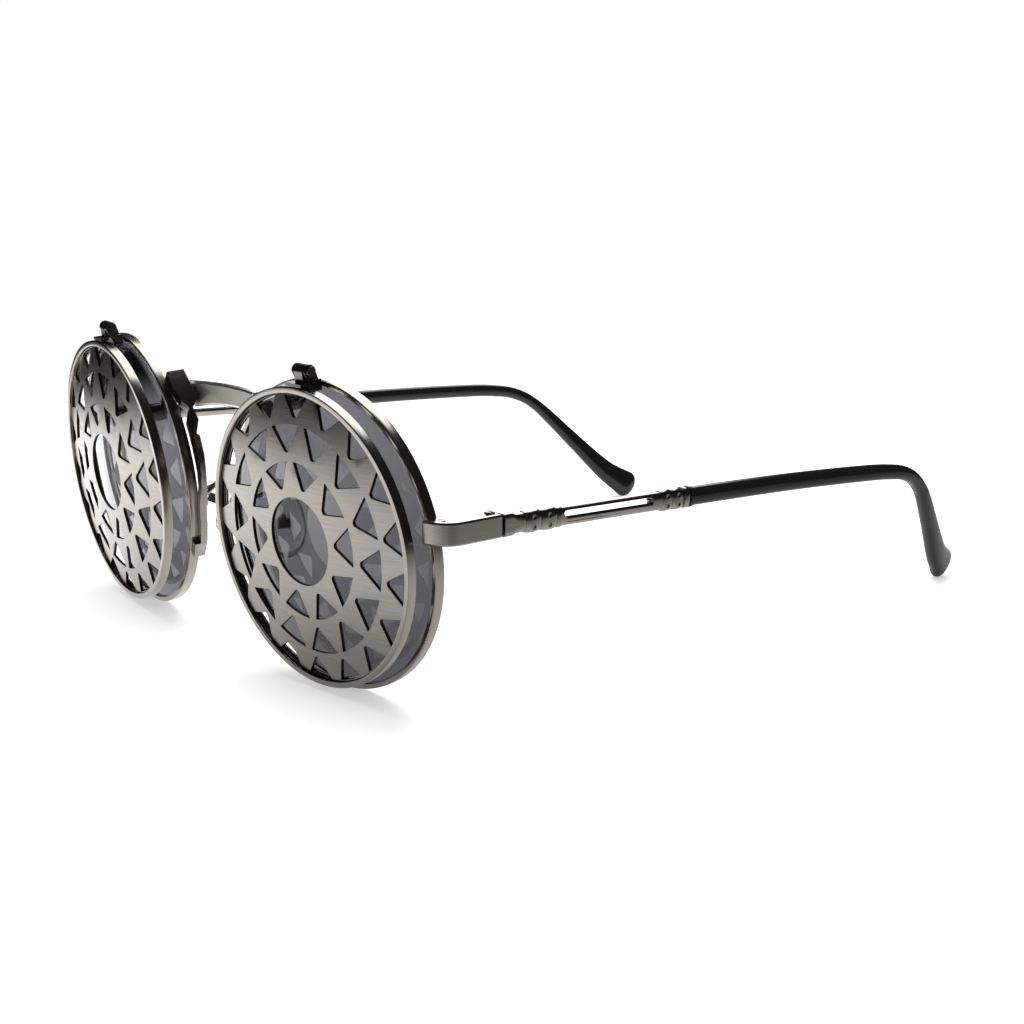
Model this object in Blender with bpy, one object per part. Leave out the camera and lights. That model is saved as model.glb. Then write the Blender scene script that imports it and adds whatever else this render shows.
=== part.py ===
"""Round metal sunglasses with flip-up pierced covers.

Metres, +Z up. The wearer looks along -Y, and +X is the wearer's left. The frame stands open on the
lowest points of its rims and on the tips of its temples, so the surface under it is z = 0.
"""

from math import acos, atan2, copysign, cos, hypot, pi, radians, sin, sqrt, tau

import bmesh
import bpy
from mathutils import Matrix, Vector
from mathutils.geometry import delaunay_2d_cdt

# Clearances
SEAT_GAP = 0.00015
RUN_GAP = 0.00015
BORE_GAP = 0.0001
OVERRUN = 0.002
JOIN_LAP = 0.0004
WELD = 0.0000001

# Fronts. Distances back are taken from the plane of the lens centres. The origin lies MIDDLE_BACK behind it
MIDDLE_BACK = 0.066622
RIM_GAP = 0.0164
WRAP = radians(6.0)
LEAN = radians(4.9)

# Rim, lens and closing block
RIM_RADIUS = 0.0261
RIM_DEPTH = 0.0019
RIM_WALL = 0.0009
RIM_GROOVE = 0.0005
RIM_CORNER = 0.0002
LENS_DOME_RADIUS = 0.115
LENS_THICKNESS = 0.0018
LENS_EDGE = 0.0007
CLOSING_HEIGHT = 0.0034
CLOSING_RADIUS = 0.0009
CLOSING_SPLIT = 0.0004
CLOSING_BORE = 0.00045

# Flip cover
COVER_INSET = 0.0011
COVER_BAND = 0.00172
COVER_STAND = 0.00285
COVER_WALL = 0.0010
COVER_LEDGE = 0.0006
COVER_LIFT = 0.0005
PLATE_THICKNESS = 0.0006
PLATE_DOME_RADIUS = 0.138
PLATE_SINK = 0.0005
CUTOUT_CORNER_SHARE = 0.028
EYE_SHARE = 0.294
# Cut-outs in the ring, shares of the cover's radius at their points and at their arcs, turn and spread
CUTOUT_RING_SHARES = (
    (10, 0.354, 0.524, radians(5.2), radians(28.8)),
    (14, 0.580, 0.762, radians(-5.0), radians(21.3)),
    (18, 0.804, 0.948, radians(10.0), radians(14.2)),
)

# Flip hinge, across the top of each rim
FLIP_AXIS_RISE = 0.0017
FLIP_AXIS_FRONT = 0.0020
FLIP_EAR_RADIUS = 0.00115
FLIP_EAR_INNER = 0.00115
FLIP_EAR_OUTER = 0.00165
FLIP_PIN_RADIUS = 0.0004
FLIP_HEAD_RADIUS = 0.00085
FLIP_HEAD = 0.0004
FLIP_TAIL = 0.0002
FLIP_SLOT = 0.0003
FLIP_FOOT_FRONT = 0.0020
FLIP_FOOT_DROP = 0.0015
FLIP_FOOT_HALF = 0.0020
FLIP_FOOT_RISE = 0.00035
LEAF_HALF = 0.0020
LEAF_THICKNESS = 0.0005
LEAF_ARM_BACK = 0.0023
LEAF_ARM_FRONT = 0.0031

# Bridge: a bar with a folded lower flange, and a band down the nose side of each rim
BAR_TOP_ANGLE = radians(49.3)
BAR_END_ANGLE = radians(46.1)
BAR_CREASE_DROP = 0.0034
BAR_CREASE_END_DROP = 0.0046
BAR_EDGE_HEIGHT = 0.0005
BAR_ARCH = 0.0005
BAR_LAP = 0.0006
BAR_BOW = 0.0024
BAR_THICKNESS = 0.0017
BAR_EDGE_SLANT = 0.0006
BAR_CHAMFER = 0.00035
BAND_REACH = 0.0023
BAND_FOOT_REACH = 0.0012
BAND_TOP_FRONT = 0.0013
BAND_TOP_BACK = 0.0046
BAND_NECK_FRONT = 0.0021
BAND_NECK_BACK = 0.0028
BAND_FOOT_FRONT = 0.0014
BAND_FOOT_BACK = 0.0030
BAND_STEP = 0.0003
# Angle up from the nose side, share of the reach beyond the foot's, front edge and back edge
BAND_STATIONS = (
    (48, 1.0, BAND_TOP_FRONT, BAND_TOP_BACK),
    (44.5, 1.0, BAND_TOP_FRONT, BAND_TOP_BACK),
    (41, 1.0, BAND_TOP_FRONT, BAND_TOP_BACK),
    (38, 1.0, BAND_TOP_FRONT, BAND_TOP_BACK),
    (35, 1.0, BAND_TOP_FRONT, BAND_TOP_BACK),
    (32, 1.0, BAND_NECK_FRONT, BAND_NECK_BACK),
    (27, 1.0, BAND_NECK_FRONT, BAND_NECK_BACK),
    (22, 1.0, BAND_NECK_FRONT, BAND_NECK_BACK),
    (21, 1.0, BAND_NECK_FRONT, BAND_FOOT_BACK + BAND_STEP),
    (14, 0.95, BAND_NECK_FRONT, BAND_FOOT_BACK + BAND_STEP),
    (8, 0.75, BAND_NECK_FRONT, BAND_FOOT_BACK + BAND_STEP / 2),
    (2, 0.4, BAND_NECK_FRONT - BAND_STEP / 2, BAND_FOOT_BACK),
    (-5, 0, BAND_FOOT_FRONT, BAND_FOOT_BACK),
    (-6, 0, BAND_FOOT_FRONT, BAND_FOOT_BACK - BAND_STEP),
    (-13, 0, BAND_FOOT_FRONT, BAND_FOOT_BACK - BAND_STEP),
    (-20, 0, BAND_FOOT_FRONT, BAND_FOOT_BACK - BAND_STEP),
    (-26, 0, BAND_FOOT_FRONT, BAND_FOOT_BACK - 2 * BAND_STEP),
)
# The tab that laps the rim's wall, at the foot of each band
BAND_TAB_FRONT = 0.0003
BAND_TAB_ANGLES = (-21, -24, -27)

# End piece: a strap from the rim round to the temple hinge, placed from the rim's outermost point
STRAP_HEIGHT = 0.0037
STRAP_RISE = 0.0053
STRAP_THICKNESS = 0.0012
STRAP_CLEAR = 0.0002
STRAP_LAP = 0.0009
STRAP_FRONT = 0.0020
STRAP_OUT = 0.0040
STRAP_SLANT = 0.0012
STRAP_FLARE = -0.00055
STRAP_LENGTH = 0.0111
STRAP_BEND_RADIUS = 0.0040
STRAP_CHAMFER = 0.0003

# Temple hinge, upright inside the strap's end
HINGE_INSET = 0.00245
HINGE_BACK = 0.0009
HINGE_RADIUS = 0.0011
HINGE_MIDDLE = 0.0011
HINGE_LEAF = 0.0009
HINGE_PIN_RADIUS = 0.00045
HINGE_HEAD_RADIUS = 0.0009
HINGE_HEAD = 0.00045
HINGE_SPLIT = 0.0002
HINGE_SLOT = 0.0003
HINGE_STEP = 0.00038

# Temple: forged arm with two beaded ends and a slot between them, and a wire core
ARM_INSET = 0.00095
ARM_THICKNESS = 0.0019
ARM_BLOCK = 0.0015
ARM_TAPER = 0.0026
ARM_BEAD_HEIGHT = 0.0037
ARM_NECK_HEIGHT = 0.0031
ARM_BEAD_THICKNESS = 0.0028
ARM_NECK_THICKNESS = 0.0021
BEADS = 2
FRONT_BEAD_PITCH = 0.0033
REAR_BEAD_PITCH = 0.0026
RIB_LENGTH = 0.0013
RIB_SWELL_SHARE = 0.6
SLOT_LENGTH = 0.0203
SLOT_STAND = 0.0003
SLOT_END_STAND = 0.0014
SLOT_HEIGHT = 0.0012
SLOT_RISE = 0.0004
DIMPLE_RADIUS = 0.00042
DIMPLE_DEPTH = 0.0003
DIMPLE_RISE = 0.0008
COLLAR_STAND = 0.0002
COLLAR_LENGTH = 0.0011
COLLAR_HEIGHT = 0.0036
COLLAR_THICKNESS = 0.0030
CORE_RADIUS = 0.0008
CORE_LENGTH = 0.0402

# Temple tip: a moulded sleeve over the core, curved down and in behind the ear
TIP_GAP = 0.0002
TIP_LIP_HEIGHT = 0.0036
TIP_LIP_THICKNESS = 0.0032
TIP_HEIGHT = 0.0033
TIP_THICKNESS = 0.0029
TIP_BEND_HEIGHT = 0.0025
TIP_BEND_THICKNESS = 0.0026
TIP_BULB_HEIGHT = 0.0064
TIP_BULB_THICKNESS = 0.0034
TIP_NOSE = 0.0024
TIP_END_RISE = 0.00294
TIP_BORE_SPARE = 0.0015
# Shares of the bulb's section, and of the nose's length, at its rounded end
TIP_NOSE_SHARES = ((0.95, 0.3), (0.8, 0.62), (0.5, 0.88), (0.2, 1.0))
BEND_SHARE = 0.6
# A temple's centre line from the end piece to the tip: shares of its length, its draw inwards and its drop
TEMPLE_LENGTH = 0.1252
TEMPLE_DRAW = 0.0142
ROUTE_SHARES = (
    (0, 0, 0),
    (0.1358, 0.0493, 0.0174),
    (0.3355, 0.1268, 0.0435),
    (0.5351, 0.1479, 0.0695),
    (0.6949, 0.1514, 0.1043),
    (0.7528, 0.1756, 0.1300),
    (0.7831, 0.2009, 0.1555),
    (0.8106, 0.2493, 0.2040),
    (0.8337, 0.3053, 0.2720),
    (0.8573, 0.3781, 0.3680),
    (0.9092, 0.6021, 0.6200),
    (0.9609, 0.8358, 0.8650),
    (1, 1, 1),
)

# Nose pads, placed from the rim's nose side
PAD_ARM_RADIUS = 0.0004
PAD_HALF_HEIGHT = 0.0062
PAD_HALF_WIDTH = 0.0036
PAD_THICKNESS = 0.0017
PAD_TAPER_SHARE = 0.18
PAD_TAB_RADIUS = 0.0009
PAD_TAB_HALF = 0.0004
PAD_BOX_WALL = 0.0004
PAD_BOX_BACK = 0.0009
PAD_WIRE_RUN = 0.0014
PAD_PIN_RADIUS = 0.00035
PAD_HEAD = 0.0003
PAD_OUT = 0.0023
PAD_BACK = 0.0095
PAD_DROP = 0.0032
PAD_SPLAY = radians(32.0)
PAD_TILT = radians(14.0)
# Shares of the pad's outline and of its thickness, from the face that rests on the nose
PAD_SHARES = ((0.80, -0.5), (1.0, -0.25), (1.0, 0.1), (0.86, 0.42), (0.45, 0.5))
# The wire's loop from the band to the pad's box: shares of its reach outwards, back and up
PAD_LOOP_OUT = 0.0048
PAD_LOOP_BACK = 0.0044
PAD_LOOP_RISE = 0.0020
PAD_WIRE_START = 0.0033
PAD_LOOP_SHARES = (
    (-0.146, 0, -0.1),
    (-0.167, 0.364, 0.5),
    (-0.042, 0.818, 1.0),
    (0.417, 1.0, 0.8),
    (1.0, 1.0, -0.1),
)

BAR_STEPS = 12
RING_STEPS = 48
LENS_STEPS = 40
LENS_ROWS = 3
ARM_SIDES = 12
ARM_SQUARENESS = 0.45
TIP_SQUARENESS = 0.8
BEAD_STEPS = 5
RIB_STEPS = 4
CORE_SIDES = 10
PIN_SIDES = 12
EAR_STEPS = 8
HEAD_SIDES = 16
DIMPLE_SIDES = 8
PAD_SIDES = 20
TIP_SIDES = 12
WIRE_SIDES = 6
ARC_POINTS = 4
SMOOTH_ANGLE = radians(32.0)


def material(name, colour, metallic, roughness, alpha=1.0, transmission=0.0):
    made = bpy.data.materials.new(name)
    made.use_nodes = True
    shader = made.node_tree.nodes["Principled BSDF"]
    shader.inputs["Base Color"].default_value = (*colour, 1.0)
    shader.inputs["Metallic"].default_value = metallic
    shader.inputs["Roughness"].default_value = roughness
    shader.inputs["Alpha"].default_value = alpha
    shader.inputs["Transmission Weight"].default_value = transmission
    return made


def empty(name, matrix, parent=None):
    made = bpy.data.objects.new(name, None)
    bpy.context.scene.collection.objects.link(made)
    made.parent = parent
    made.matrix_local = matrix
    return made


def put(name, mesh, finish, parent, side=1, matrix=None):
    """Makes an object of a bmesh, mirrored across the middle of the frame on side -1."""
    if side < 0:
        bmesh.ops.scale(mesh, vec=(-1, 1, 1), verts=mesh.verts)
    bmesh.ops.recalc_face_normals(mesh, faces=mesh.faces)
    if mesh.calc_volume(signed=True) < 0:
        bmesh.ops.reverse_faces(mesh, faces=mesh.faces)
    data = bpy.data.meshes.new(name)
    mesh.to_mesh(data)
    mesh.free()
    data.shade_smooth()
    data.set_sharp_from_angle(angle=SMOOTH_ANGLE)
    data.materials.append(finish)
    made = bpy.data.objects.new(name, data)
    bpy.context.scene.collection.objects.link(made)
    made.parent = parent
    if matrix is not None:
        made.matrix_local = matrix
    return made


def helper(name, mesh, finish, parent, side=1, matrix=None):
    """A solid that only cuts or joins another."""
    made = put(name, mesh, finish, parent, side, matrix)
    made.hide_render = True
    made.display_type = "WIRE"
    return made


def combine(target, other, operation):
    modifier = target.modifiers.new(f"{operation} {other.name}", "BOOLEAN")
    modifier.operation = operation
    modifier.solver = "EXACT"
    modifier.object = other


def soften(target, width, segments=1):
    modifier = target.modifiers.new("Soft edges", "BEVEL")
    modifier.width = width
    modifier.segments = segments
    modifier.limit_method = "ANGLE"
    modifier.angle_limit = radians(35.0)


def turned(profile, steps, closed):
    """Turns (radius, height) points about Z. An open profile starts and ends on the axis."""
    mesh = bmesh.new()
    points = [mesh.verts.new((radius, 0, height)) for radius, height in profile]
    edges = [mesh.edges.new(pair) for pair in zip(points, points[1:])]
    if closed:
        edges.append(mesh.edges.new((points[-1], points[0])))
    bmesh.ops.spin(
        mesh,
        geom=points + edges,
        cent=(0, 0, 0),
        axis=(0, 0, 1),
        angle=tau,
        steps=steps,
    )
    bmesh.ops.remove_doubles(mesh, verts=mesh.verts, dist=WELD)
    return mesh


def prism(outline, low, high):
    """Raises an outline of (x, y) points from one height to another."""
    mesh = bmesh.new()
    base = mesh.faces.new([mesh.verts.new((x, y, low)) for x, y in outline])
    raised = bmesh.ops.extrude_face_region(mesh, geom=[base])
    points = [item for item in raised["geom"] if isinstance(item, bmesh.types.BMVert)]
    bmesh.ops.translate(mesh, vec=(0, 0, high - low), verts=points)
    return mesh


def turned_over(mesh, matrix):
    bmesh.ops.transform(mesh, matrix=matrix, verts=mesh.verts)
    return mesh


def box(low, high):
    outline = ((low[0], low[1]), (high[0], low[1]), (high[0], high[1]), (low[0], high[1]))
    return prism(outline, low[2], high[2])


def disc(radius, low, high, centre=(0, 0), sides=20):
    angles = [tau * step / sides for step in range(sides)]
    outline = [(centre[0] + radius * cos(a), centre[1] + radius * sin(a)) for a in angles]
    return prism(outline, low, high)


def lofted(rings):
    """Skins a row of point rings and closes its two ends."""
    mesh = bmesh.new()
    rows = [[mesh.verts.new(point) for point in ring] for ring in rings]
    for row, following in zip(rows, rows[1:]):
        for index in range(len(row)):
            after = (index + 1) % len(row)
            mesh.faces.new((row[index], row[after], following[after], following[index]))
    mesh.faces.new(rows[0])
    mesh.faces.new(rows[-1])
    return mesh


def smooth_route(points, each):
    """Points of a Catmull-Rom curve through the route, so many to each of its spans."""
    route = [Vector(point) for point in points]
    route = [2 * route[0] - route[1]] + route + [2 * route[-1] - route[-2]]
    made = []
    for a, b, c, d in zip(route, route[1:], route[2:], route[3:]):
        for step in range(each):
            t = step / each
            made.append(
                0.5 * (2 * b + (c - a) * t + (2 * a - 5 * b + 4 * c - d) * t**2 + (3 * b - a - 3 * c + d) * t**3)
            )
    made.append(route[-2])
    return made


def swept(route, halves, squareness, sides, across=Vector((1, 0, 0))):
    """Carries an oval along a route. halves(point) gives its half width across and its half height."""
    rings = []
    for index, point in enumerate(route):
        before = route[max(index - 1, 0)]
        after = route[min(index + 1, len(route) - 1)]
        along = (after - before).normalized()
        wide = (across - across.dot(along) * along).normalized()
        tall = along.cross(wide)
        half_width, half_height = halves(index, point)
        ring = []
        for step in range(sides):
            angle = tau * (step + 0.5) / sides
            x = copysign(abs(cos(angle)) ** squareness, cos(angle))
            y = copysign(abs(sin(angle)) ** squareness, sin(angle))
            ring.append(point + half_width * x * wide + half_height * y * tall)
        rings.append(ring)
    return lofted(rings)


def tube(route, radius, sides, across=Vector((1, 0, 0))):
    return swept(route, lambda index, point: (radius, radius), 1.0, sides, across)


# Axes that turn a prism's height along X (its outline then lies in Y and Z) or keep it upright
ALONG_X = Matrix(((0, 0, 1, 0), (1, 0, 0, 0), (0, 1, 0, 0), (0, 0, 0, 1)))


def rim_centre():
    """The middle of the left rim's front."""
    return Vector((RIM_RADIUS + RIM_GAP / 2, 0, RIM_RADIUS * cos(LEAN)))


def rim_matrix(side):
    """The place of a rim: its X runs to the left, its Y up, and its Z straight out of the lens."""
    turn = Matrix.Rotation(side * WRAP, 4, "Z")
    stand = Matrix.Rotation(pi / 2 + LEAN, 4, "X")
    centre = rim_centre()
    return Matrix.Translation((side * centre.x, centre.y, centre.z)) @ turn @ stand


def rim_side(hand):
    """Where the left rim reaches furthest out, on hand 1, or nearest the nose, on hand -1."""
    return rim_centre() + hand * RIM_RADIUS * Vector((1, sin(WRAP), 0))


def strap_middle():
    return rim_centre().z + STRAP_RISE


def strap_end():
    """The end of the strap's outer face, seen from above."""
    outermost = rim_side(1)
    out = STRAP_OUT + STRAP_CLEAR + STRAP_FLARE
    return Vector((outermost.x + out, outermost.y - STRAP_FRONT + STRAP_SLANT + STRAP_LENGTH))


def hinge_point():
    end = strap_end()
    return Vector((end.x - HINGE_INSET, end.y - HINGE_BACK, strap_middle()))


def arm_start():
    return strap_end().y + HINGE_SPLIT


def bead_groups():
    """Where the two groups of beads start, and how far apart their beads are."""
    first = arm_start() + ARM_BLOCK + ARM_TAPER
    return (first, FRONT_BEAD_PITCH), (slot_start() + SLOT_LENGTH + SLOT_END_STAND, REAR_BEAD_PITCH)


def rib_start():
    """Where the low rib between the first group and the slot starts."""
    return arm_start() + ARM_BLOCK + ARM_TAPER + BEADS * FRONT_BEAD_PITCH


def slot_start():
    return rib_start() + RIB_LENGTH + SLOT_STAND


def collar_start():
    start, pitch = bead_groups()[1]
    return start + BEADS * pitch + COLLAR_STAND


def collar_end():
    return collar_start() + COLLAR_LENGTH


def temple_route(each):
    """The centre line of the left temple as a smooth curve, so many points to each of its spans."""
    start = Vector((strap_end().x - ARM_INSET, arm_start(), strap_middle()))
    drop = strap_middle() - TIP_END_RISE
    route = [
        start + Vector((-TEMPLE_DRAW * draw, TEMPLE_LENGTH * back, -drop * down))
        for back, draw, down in ROUTE_SHARES
    ]
    return smooth_route(route, each)


def lens_radius():
    return RIM_RADIUS - RIM_WALL + RIM_GROOVE - SEAT_GAP


def build_rim(side, frame, finish):
    inner = RIM_RADIUS - RIM_WALL
    middle = -RIM_DEPTH / 2
    mouth = LENS_EDGE / 2 + SEAT_GAP + RIM_GROOVE / 2
    floor = LENS_EDGE / 2 + SEAT_GAP
    profile = (
        (RIM_RADIUS, 0),
        (RIM_RADIUS, -RIM_DEPTH),
        (inner, -RIM_DEPTH),
        (inner, middle - mouth),
        (inner + RIM_GROOVE, middle - floor),
        (inner + RIM_GROOVE, middle + floor),
        (inner, middle + mouth),
        (inner, 0),
    )
    rim = put(f"rim_{side_name(side)}", turned(profile, RING_STEPS, True), finish, frame, side)
    place = closing_place()
    low = place.y - CLOSING_HEIGHT / 2
    high = place.y + CLOSING_HEIGHT / 2
    block = disc(CLOSING_RADIUS, low, high, (place.z, place.x))
    block = helper("closing_block", turned_over(block, UPRIGHT_IN_RIM), finish, frame, side)
    web = box(
        (place.x - CLOSING_RADIUS - RIM_WALL, low, -RIM_DEPTH + RIM_CORNER),
        (place.x, high, -RIM_DEPTH / 2),
    )
    web = helper("closing_web", web, finish, frame, side)
    keep = turned(
        (
            (RIM_RADIUS - RIM_CORNER, 0),
            (RIM_RADIUS - RIM_CORNER, -RIM_DEPTH),
            (RIM_RADIUS + OVERRUN, -RIM_DEPTH),
            (RIM_RADIUS + OVERRUN, 0),
        ),
        RING_STEPS,
        True,
    )
    keep = helper("closing_keep", keep, finish, frame, side)
    combine(web, keep, "INTERSECT")
    combine(rim, web, "UNION")
    combine(rim, block, "UNION")
    split = box(
        (place.x - CLOSING_RADIUS - RIM_WALL - OVERRUN, place.y - CLOSING_SPLIT / 2, -RIM_DEPTH - OVERRUN),
        (place.x + OVERRUN, place.y + CLOSING_SPLIT / 2, OVERRUN),
    )
    combine(rim, helper("closing_split", split, finish, frame, side), "DIFFERENCE")
    bore = disc(CLOSING_BORE, low - OVERRUN, high + OVERRUN, (place.z, place.x), PIN_SIDES)
    bore = helper("closing_bore", turned_over(bore, UPRIGHT_IN_RIM), finish, frame, side)
    combine(rim, bore, "DIFFERENCE")
    screw = disc(CLOSING_BORE - BORE_GAP, low, high, (place.z, place.x), PIN_SIDES)
    put(f"rim_screw_{side_name(side)}", turned_over(screw, UPRIGHT_IN_RIM), finish, frame, side)


# Axes that stand a prism's height along a rim's own upward Y
UPRIGHT_IN_RIM = Matrix(((0, 1, 0, 0), (0, 0, 1, 0), (1, 0, 0, 0), (0, 0, 0, 1)))


def closing_place():
    """The middle of the block that closes a rim, level with the end piece, behind its strap."""
    out = sqrt(RIM_RADIUS**2 - STRAP_RISE**2) + CLOSING_RADIUS + RIM_CORNER
    return Vector((out, STRAP_RISE, -RIM_DEPTH / 2 - RIM_CORNER))


def build_lens(side, frame, finish):
    radius = lens_radius()
    middle = -RIM_DEPTH / 2
    bevel = radius - RIM_GROOVE
    crown = LENS_DOME_RADIUS - sqrt(LENS_DOME_RADIUS**2 - bevel**2)
    high = middle + LENS_EDGE / 2 + RIM_GROOVE / 2 + crown
    front = [
        (bevel * row / LENS_ROWS, high - dome_drop(bevel * row / LENS_ROWS, LENS_DOME_RADIUS))
        for row in range(LENS_ROWS + 1)
    ]
    back = [(x, z - LENS_THICKNESS) for x, z in reversed(front)]
    edge = [
        (radius, middle + LENS_EDGE / 2),
        (radius, middle - LENS_EDGE / 2),
        (bevel, middle - LENS_EDGE / 2 - RIM_GROOVE / 2),
    ]
    put(f"lens_{side_name(side)}", turned(front + edge + back, LENS_STEPS, False), finish, frame, side)


def dome_drop(radius, sphere):
    return sphere - sqrt(sphere**2 - radius**2)


def cutout(count, inner, outer, turn, spread, index):
    """A triangle with a rounded point towards the middle and an arc away from it."""
    blunt = CUTOUT_CORNER_SHARE * cover_radius()
    centre = inner + blunt
    corner = Vector((outer * cos(spread / 2) - centre, outer * sin(spread / 2)))
    reach = atan2(corner.y, corner.x) + acos(blunt / corner.length)
    outline = []
    for step in range(ARC_POINTS):
        angle = reach + (tau - 2 * reach) * step / (ARC_POINTS - 1)
        outline.append((centre + blunt * cos(angle), blunt * sin(angle)))
    for step in range(ARC_POINTS):
        angle = spread * (step / (ARC_POINTS - 1) - 0.5)
        outline.append((outer * cos(angle), outer * sin(angle)))
    heading = turn + tau * index / count
    return [(x * cos(heading) - y * sin(heading), x * sin(heading) + y * cos(heading)) for x, y in outline]


def pierced_sheet(radius, crown):
    """A domed disc with a round eye and three rings of triangular cut-outs, one face thick."""
    eye = cover_radius() * EYE_SHARE
    loops = [[(radius * cos(a), radius * sin(a)) for a in angles_round(RING_STEPS)]]
    loops.append([(eye * cos(a), eye * sin(a)) for a in angles_round(LENS_STEPS)])
    for count, inner, outer, turn, spread in CUTOUT_RING_SHARES:
        for index in range(count):
            loops.append(cutout(count, inner * cover_radius(), outer * cover_radius(), turn, spread, index))
    points = [Vector(point) for loop in loops for point in loop]
    starts = [sum(len(loop) for loop in loops[:index]) for index in range(len(loops))]
    faces = [list(range(start, start + len(loop))) for start, loop in zip(starts, loops)]
    found, _, triangles, _, _, sources = delaunay_2d_cdt(points, [], faces, 1, WELD)
    mesh = bmesh.new()
    corners = [mesh.verts.new((x, y, crown - dome_drop(hypot(x, y), PLATE_DOME_RADIUS))) for x, y in found]
    for triangle, owners in zip(triangles, sources):
        if owners == [0]:
            mesh.faces.new([corners[index] for index in triangle])
    loose = [corner for corner in mesh.verts if not corner.link_faces]
    bmesh.ops.delete(mesh, geom=loose, context="VERTS")
    return mesh


def cover_radius():
    return RIM_RADIUS - COVER_INSET


def angles_round(steps):
    return [tau * step / steps for step in range(steps)]


def thickened(sheet, thickness):
    """Gives a domed sheet its back and its edges."""
    bmesh.ops.recalc_face_normals(sheet, faces=sheet.faces)
    raised = bmesh.ops.extrude_face_region(sheet, geom=sheet.faces[:])
    points = [item for item in raised["geom"] if isinstance(item, bmesh.types.BMVert)]
    bmesh.ops.translate(sheet, vec=(0, 0, -thickness), verts=points)
    return sheet


def build_cover(side, pivot, finish, plate_finish):
    """The ring, the pierced plate and the hinge leaf, which flip up together."""
    axis = flip_axis()
    shift = Matrix.Translation(-axis)
    outer = cover_radius()
    inner = outer - COVER_WALL
    plate_radius = inner - SEAT_GAP
    back = COVER_STAND
    front = back + COVER_BAND
    crown = front - PLATE_SINK + dome_drop(plate_radius, PLATE_DOME_RADIUS)
    ledge = front - PLATE_SINK - PLATE_THICKNESS - SEAT_GAP
    profile = (
        (inner, front),
        (outer - RIM_CORNER, front),
        (outer, front - RIM_CORNER),
        (outer, back),
        (inner - COVER_LEDGE, back),
        (inner - COVER_LEDGE, ledge),
        (inner, ledge),
    )
    lift = Matrix.Translation((0, COVER_LIFT, 0))
    ring = turned(profile, RING_STEPS, True)
    put(f"cover_ring_{side_name(side)}", ring, finish, pivot, side, shift @ lift)
    sheet = thickened(pierced_sheet(plate_radius, crown), PLATE_THICKNESS)
    put(f"cover_plate_{side_name(side)}", sheet, plate_finish, pivot, side, shift @ lift)
    # The leaf lies on top of the ring, and its knuckle turns between the ears
    foot_low = outer + COVER_LIFT + SEAT_GAP
    foot = box((-LEAF_HALF, foot_low, back), (LEAF_HALF, foot_low + LEAF_THICKNESS, front - RIM_CORNER))
    leaf = put(f"flip_leaf_{side_name(side)}", foot, finish, pivot, side, shift)
    half = FLIP_EAR_INNER - RUN_GAP
    arm = box((-half, foot_low + LEAF_THICKNESS / 2, LEAF_ARM_BACK), (half, axis.y, LEAF_ARM_FRONT))
    combine(leaf, helper("leaf_arm", arm, finish, pivot, side, shift), "UNION")
    knuckle = turned_over(disc(FLIP_EAR_RADIUS, -half, half, (axis.y, axis.z)), ALONG_X)
    combine(leaf, helper("leaf_knuckle", knuckle, finish, pivot, side, shift), "UNION")
    bore = disc(FLIP_PIN_RADIUS + BORE_GAP, -half - OVERRUN, half + OVERRUN, (axis.y, axis.z), PIN_SIDES)
    bore = helper("leaf_bore", turned_over(bore, ALONG_X), finish, pivot, side, shift)
    combine(leaf, bore, "DIFFERENCE")


def flip_axis():
    return Vector((0, RIM_RADIUS + FLIP_AXIS_RISE, FLIP_AXIS_FRONT))


def build_flip_base(side, frame, finish):
    """The bracket on the rim's top, its two ears and the screw through them."""
    axis = flip_axis()
    low = RIM_RADIUS - FLIP_FOOT_DROP
    top = RIM_RADIUS + FLIP_FOOT_RISE
    foot = box((-FLIP_FOOT_HALF, low, SEAT_GAP), (FLIP_FOOT_HALF, top, FLIP_FOOT_FRONT))
    base = put(f"flip_base_{side_name(side)}", foot, finish, frame, side)
    for hand in (1, -1):
        cheek = [
            (axis.y - FLIP_AXIS_RISE - FLIP_FOOT_DROP / 2, SEAT_GAP),
            (axis.y - FLIP_AXIS_RISE - FLIP_FOOT_DROP / 2, FLIP_FOOT_FRONT),
            (axis.y, axis.z + FLIP_EAR_RADIUS),
        ]
        cheek += [
            (axis.y + FLIP_EAR_RADIUS * sin(a), axis.z + FLIP_EAR_RADIUS * cos(a))
            for a in [pi * step / EAR_STEPS for step in range(1, EAR_STEPS + 1)]
        ]
        ends = sorted((hand * FLIP_EAR_INNER, hand * FLIP_EAR_OUTER))
        ear = helper(f"flip_ear_{hand}", turned_over(prism(cheek, *ends), ALONG_X), finish, frame, side)
        combine(base, ear, "UNION")
    reach = FLIP_EAR_OUTER + OVERRUN
    bore = disc(FLIP_PIN_RADIUS + BORE_GAP, -reach, reach, (axis.y, axis.z), PIN_SIDES)
    combine(base, helper("flip_bore", turned_over(bore, ALONG_X), finish, frame, side), "DIFFERENCE")
    head_low = FLIP_EAR_OUTER + SEAT_GAP
    tail = -FLIP_EAR_OUTER - FLIP_TAIL
    pin = disc(FLIP_PIN_RADIUS, tail, head_low + FLIP_HEAD / 2, (axis.y, axis.z), PIN_SIDES)
    pin = put(f"flip_screw_{side_name(side)}", turned_over(pin, ALONG_X), finish, frame, side)
    head = disc(FLIP_HEAD_RADIUS, head_low, head_low + FLIP_HEAD, (axis.y, axis.z), HEAD_SIDES)
    combine(pin, helper("flip_head", turned_over(head, ALONG_X), finish, frame, side), "UNION")
    slot = box(
        (head_low + FLIP_HEAD / 2, axis.y - FLIP_SLOT / 2, axis.z - FLIP_HEAD_RADIUS - OVERRUN),
        (head_low + FLIP_HEAD + OVERRUN, axis.y + FLIP_SLOT / 2, axis.z + FLIP_HEAD_RADIUS + OVERRUN),
    )
    combine(pin, helper("flip_slot", slot, finish, frame, side), "DIFFERENCE")


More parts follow.
